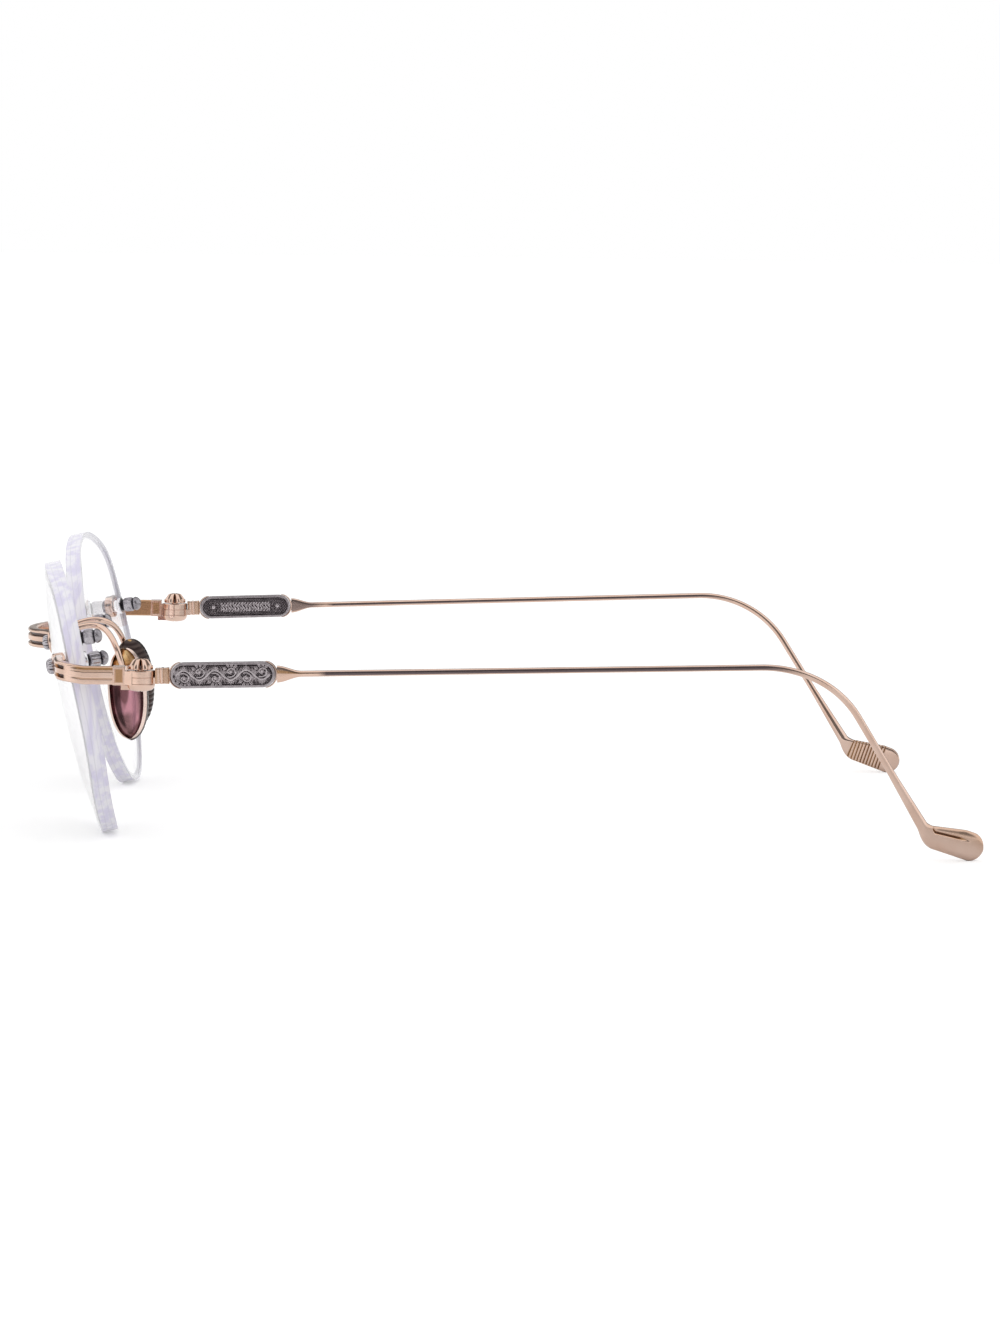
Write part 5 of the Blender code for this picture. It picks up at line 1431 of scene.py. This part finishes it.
def pad_metal():
    """Pad plate: red gold low in the hollow, a painted amber reflection above, a bright rim, painted shade between
    the ribs on the skin side, and painted shade on one side of the hollow above and the other side below.
    """
    material, nodes, shader, place = new_material("pad_red_gold")
    # The rib attribute is painted shade between the ribs and on the hollow's sides
    ribs = nodes.attribute("rib")
    drift = nodes.noise(nodes.stretched(place, (430, 430, 150)), 1.0, 1)
    fine = nodes.noise(place, 7000, 2)
    skin = nodes.mix(nodes.spread(drift, 0.3, 0.7), (0.10, 0.075, 0.067), (0.06, 0.042, 0.040))
    skin = nodes.mix(nodes.math("MULTIPLY", ribs, 0.9), skin, (0.03, 0.02, 0.02))
    red = nodes.mix(nodes.spread(drift, 0.42, 0.55), (0.56, 0.27, 0.315), (0.20, 0.09, 0.10))
    painted_amber_reflection = nodes.mix(nodes.spread(drift, 0.44, 0.60), (0.80, 0.56, 0.28), (0.46, 0.26, 0.11))
    cup = nodes.mix(nodes.attribute("upper"), red, painted_amber_reflection)
    cup = nodes.mix(nodes.math("MULTIPLY", ribs, 0.75), cup, (0.115, 0.066, 0.058))
    colour = nodes.mix(nodes.attribute("cup"), skin, cup)
    colour = nodes.mix(nodes.attribute("rim"), colour, (0.86, 0.68, 0.60))
    rough = nodes.spread(fine, 0.3, 0.7, 0.13, 0.24)
    normal = nodes.bump(fine, 0.000005, 0.5)
    nodes.fill(shader, Base_Color=colour, Metallic=1.0, Roughness=rough, Normal=normal)
    return material


both_sides("ribbed_nose_pad", pad_mesh, pad_metal(), "nose_pad_SIDE", "rose_gold", "nose_pad")


def arm_mesh():
    bm = new_mesh()
    pad = FRONT.inverted() @ PAD_FRAME
    bar_centre, bar_outward, _ = bridge_station(ARM_ROOT_ALONG_BRIDGE)
    bar_half = bridge_thickness(ARM_ROOT_ALONG_BRIDGE) / 2
    mount_height = (FRONT.inverted() @ NASAL_SEAT).translation.z
    root = bar_centre - bar_outward * (bar_half + SOLDER_GAP)
    crest = Vector((ARM_CREST_SIDE, -ARM_CREST_BEHIND, mount_height + ARM_CREST_ABOVE_MOUNT))
    end = pad @ Vector((BOX_DEPTH / 2 - BOX_WALL / 2, 0, BOX_HEIGHT / 2 - BOX_WALL / 2))
    down = -(pad.to_3x3() @ Vector((ARM_LEAN, 0, 1))).normalized()
    backward = Vector((0, 1, 0))
    spans = ((root, root - bar_outward * ARM_PULL, crest - backward * ARM_PULL, crest),
             (crest, crest + backward * ARM_PULL, end - down * ARM_END_PULL, end))
    path = [bezier(*spans[0], i / 24) for i in range(24)] + [bezier(*spans[1], i / 24) for i in range(25)]
    rings = []
    side = Vector((1, 0, 0))
    for i, point in enumerate(path):
        ahead = (path[min(i + 1, len(path) - 1)] - path[max(i - 1, 0)]).normalized()
        side = (side - ahead * side.dot(ahead)).normalized()
        up = ahead.cross(side)
        rings.append([point + side * x + up * y for x, y in superellipse(ARM_RADIUS, ARM_RADIUS, 2, 24)])
    loft(bm, rings)
    side = LUG_THICKNESS / 2 + BOX_CLEARANCE
    deep, tall = BOX_DEPTH / 2, BOX_HEIGHT / 2
    add_box(bm, (deep - BOX_WALL, -side - BOX_WALL, -tall), (deep, side + BOX_WALL, tall), pad, 0.0001)
    for way in (-1, 1):
        low, high = sorted((way * side, way * (side + BOX_WALL)))
        add_box(bm, (-deep, low, -tall), (deep - BOX_WALL / 2, high, tall), pad, 0.0001)
    bm.transform(FRONT)
    return bm


both_sides("fine_nose_pad_arm", arm_mesh, GOLD, "front", "rose_gold", "nose_pad_arm")


# Materials on the CAD nodes that stay
SLOT_MATERIALS = {"rose_gold": GOLD, "oxidised_silver": SILVER, "lens_tint": GLASS, "clear_nylon": NYLON}
for entry in frame["record"]["subparts"]:
    node = frame["nodes"][entry["node"]]
    node.data.materials.clear()
    node.data.materials.append(SLOT_MATERIALS[entry["material_slot"]])


# Floor and world
FLOOR_GLOW = 0.33
FLOOR_COLOUR = 0.80
FAR_FLOOR_COLOUR = 0.05
SIDE_WALL_LEVEL = 0.17


def grey(level):
    return level, level, level


def mirror_rays(nodes):
    """1 for rays mirrored by metal and 0 for what the camera sees, also in or through the sharp glass."""
    path = nodes.add("ShaderNodeLightPath")
    sharp = nodes.math("MAXIMUM", path.outputs["Is Transmission Ray"], path.outputs["Is Singular Ray"])
    return nodes.math("MULTIPLY", path.outputs["Is Glossy Ray"], nodes.math("SUBTRACT", 1.0, sharp)), path


def add_floor():
    """White table, one even white to the camera. Metal mirrors it dim near the pair, brighter at its outer
    corners, darker behind the pair and almost black far off, like the edge of a sheet."""
    bm = bmesh.new()
    bmesh.ops.create_circle(bm, cap_ends=True, segments=96, radius=12.0)
    floor = mesh_object("floor", bm)
    material, nodes, shader, place = new_material("floor_white")
    mirrored, path = mirror_rays(nodes)
    x, y, _ = nodes.split(place)
    away = nodes.add("ShaderNodeVectorMath", operation="LENGTH")
    nodes.link(place, away.inputs[0])
    beyond = nodes.math("MULTIPLY", mirrored, nodes.spread(away.outputs["Value"], 0.40, 0.80))
    colour = nodes.mix(beyond, grey(FLOOR_COLOUR), grey(FAR_FLOOR_COLOUR))
    seen = nodes.math("MAXIMUM", path.outputs["Is Camera Ray"], path.outputs["Is Transmission Ray"])
    seen = nodes.math("MAXIMUM", seen, path.outputs["Is Glossy Ray"])
    ends = nodes.math("ABSOLUTE", nodes.math("SUBTRACT", y, HINGE_AT.y))
    sides = nodes.math("ABSOLUTE", x)
    outer = nodes.math("MULTIPLY", nodes.spread(ends, 0.06, 0.20), nodes.spread(sides, 0.10, 0.20))
    behind = nodes.spread(y, 0.02, 0.09, 0.0, -0.28)
    level = nodes.math("ADD", nodes.spread(outer, 0.0, 1.0, 0.10, 0.42), behind)
    level = nodes.mix(mirrored, grey(FLOOR_GLOW), level)
    glow = nodes.math("MULTIPLY", level, nodes.spread(beyond, 0.0, 1.0, 1.0, 0.08))
    nodes.fill(shader, Base_Color=colour, Roughness=0.9, Specular_IOR_Level=0.0, Emission_Color=(1, 1, 1, 1),
               Emission_Strength=nodes.math("MULTIPLY", seen, glow))
    floor.data.materials.append(material)


def add_world():
    """White all round for light and for what the camera and glass see. Metal mirrors a studio instead:
    white before, behind, overhead and low down, and dark walls at its two sides."""
    world = bpy.data.worlds.new("studio")
    world.use_nodes = True
    bpy.context.scene.world = world
    nodes = Nodes(world.node_tree)
    x, _, z = nodes.split(nodes.add("ShaderNodeTexCoord").outputs["Generated"])
    ends = nodes.spread(nodes.math("ABSOLUTE", x), 0.72, 0.56)
    zenith = nodes.spread(z, 0.78, 0.90)
    horizon = nodes.spread(z, 0.14, 0.04)
    level = nodes.math("MAXIMUM", ends, nodes.math("MAXIMUM", zenith, horizon))
    level = nodes.math("MAXIMUM", level, SIDE_WALL_LEVEL)
    mirrored, _ = mirror_rays(nodes)
    colour = nodes.mix(mirrored, grey(1.0), level)
    nodes.fill(world.node_tree.nodes["Background"], Color=colour, Strength=1.0)
add_floor()
add_world()
bpy.context.scene.view_settings.view_transform = "Standard"

bpy.context.view_layer.update()
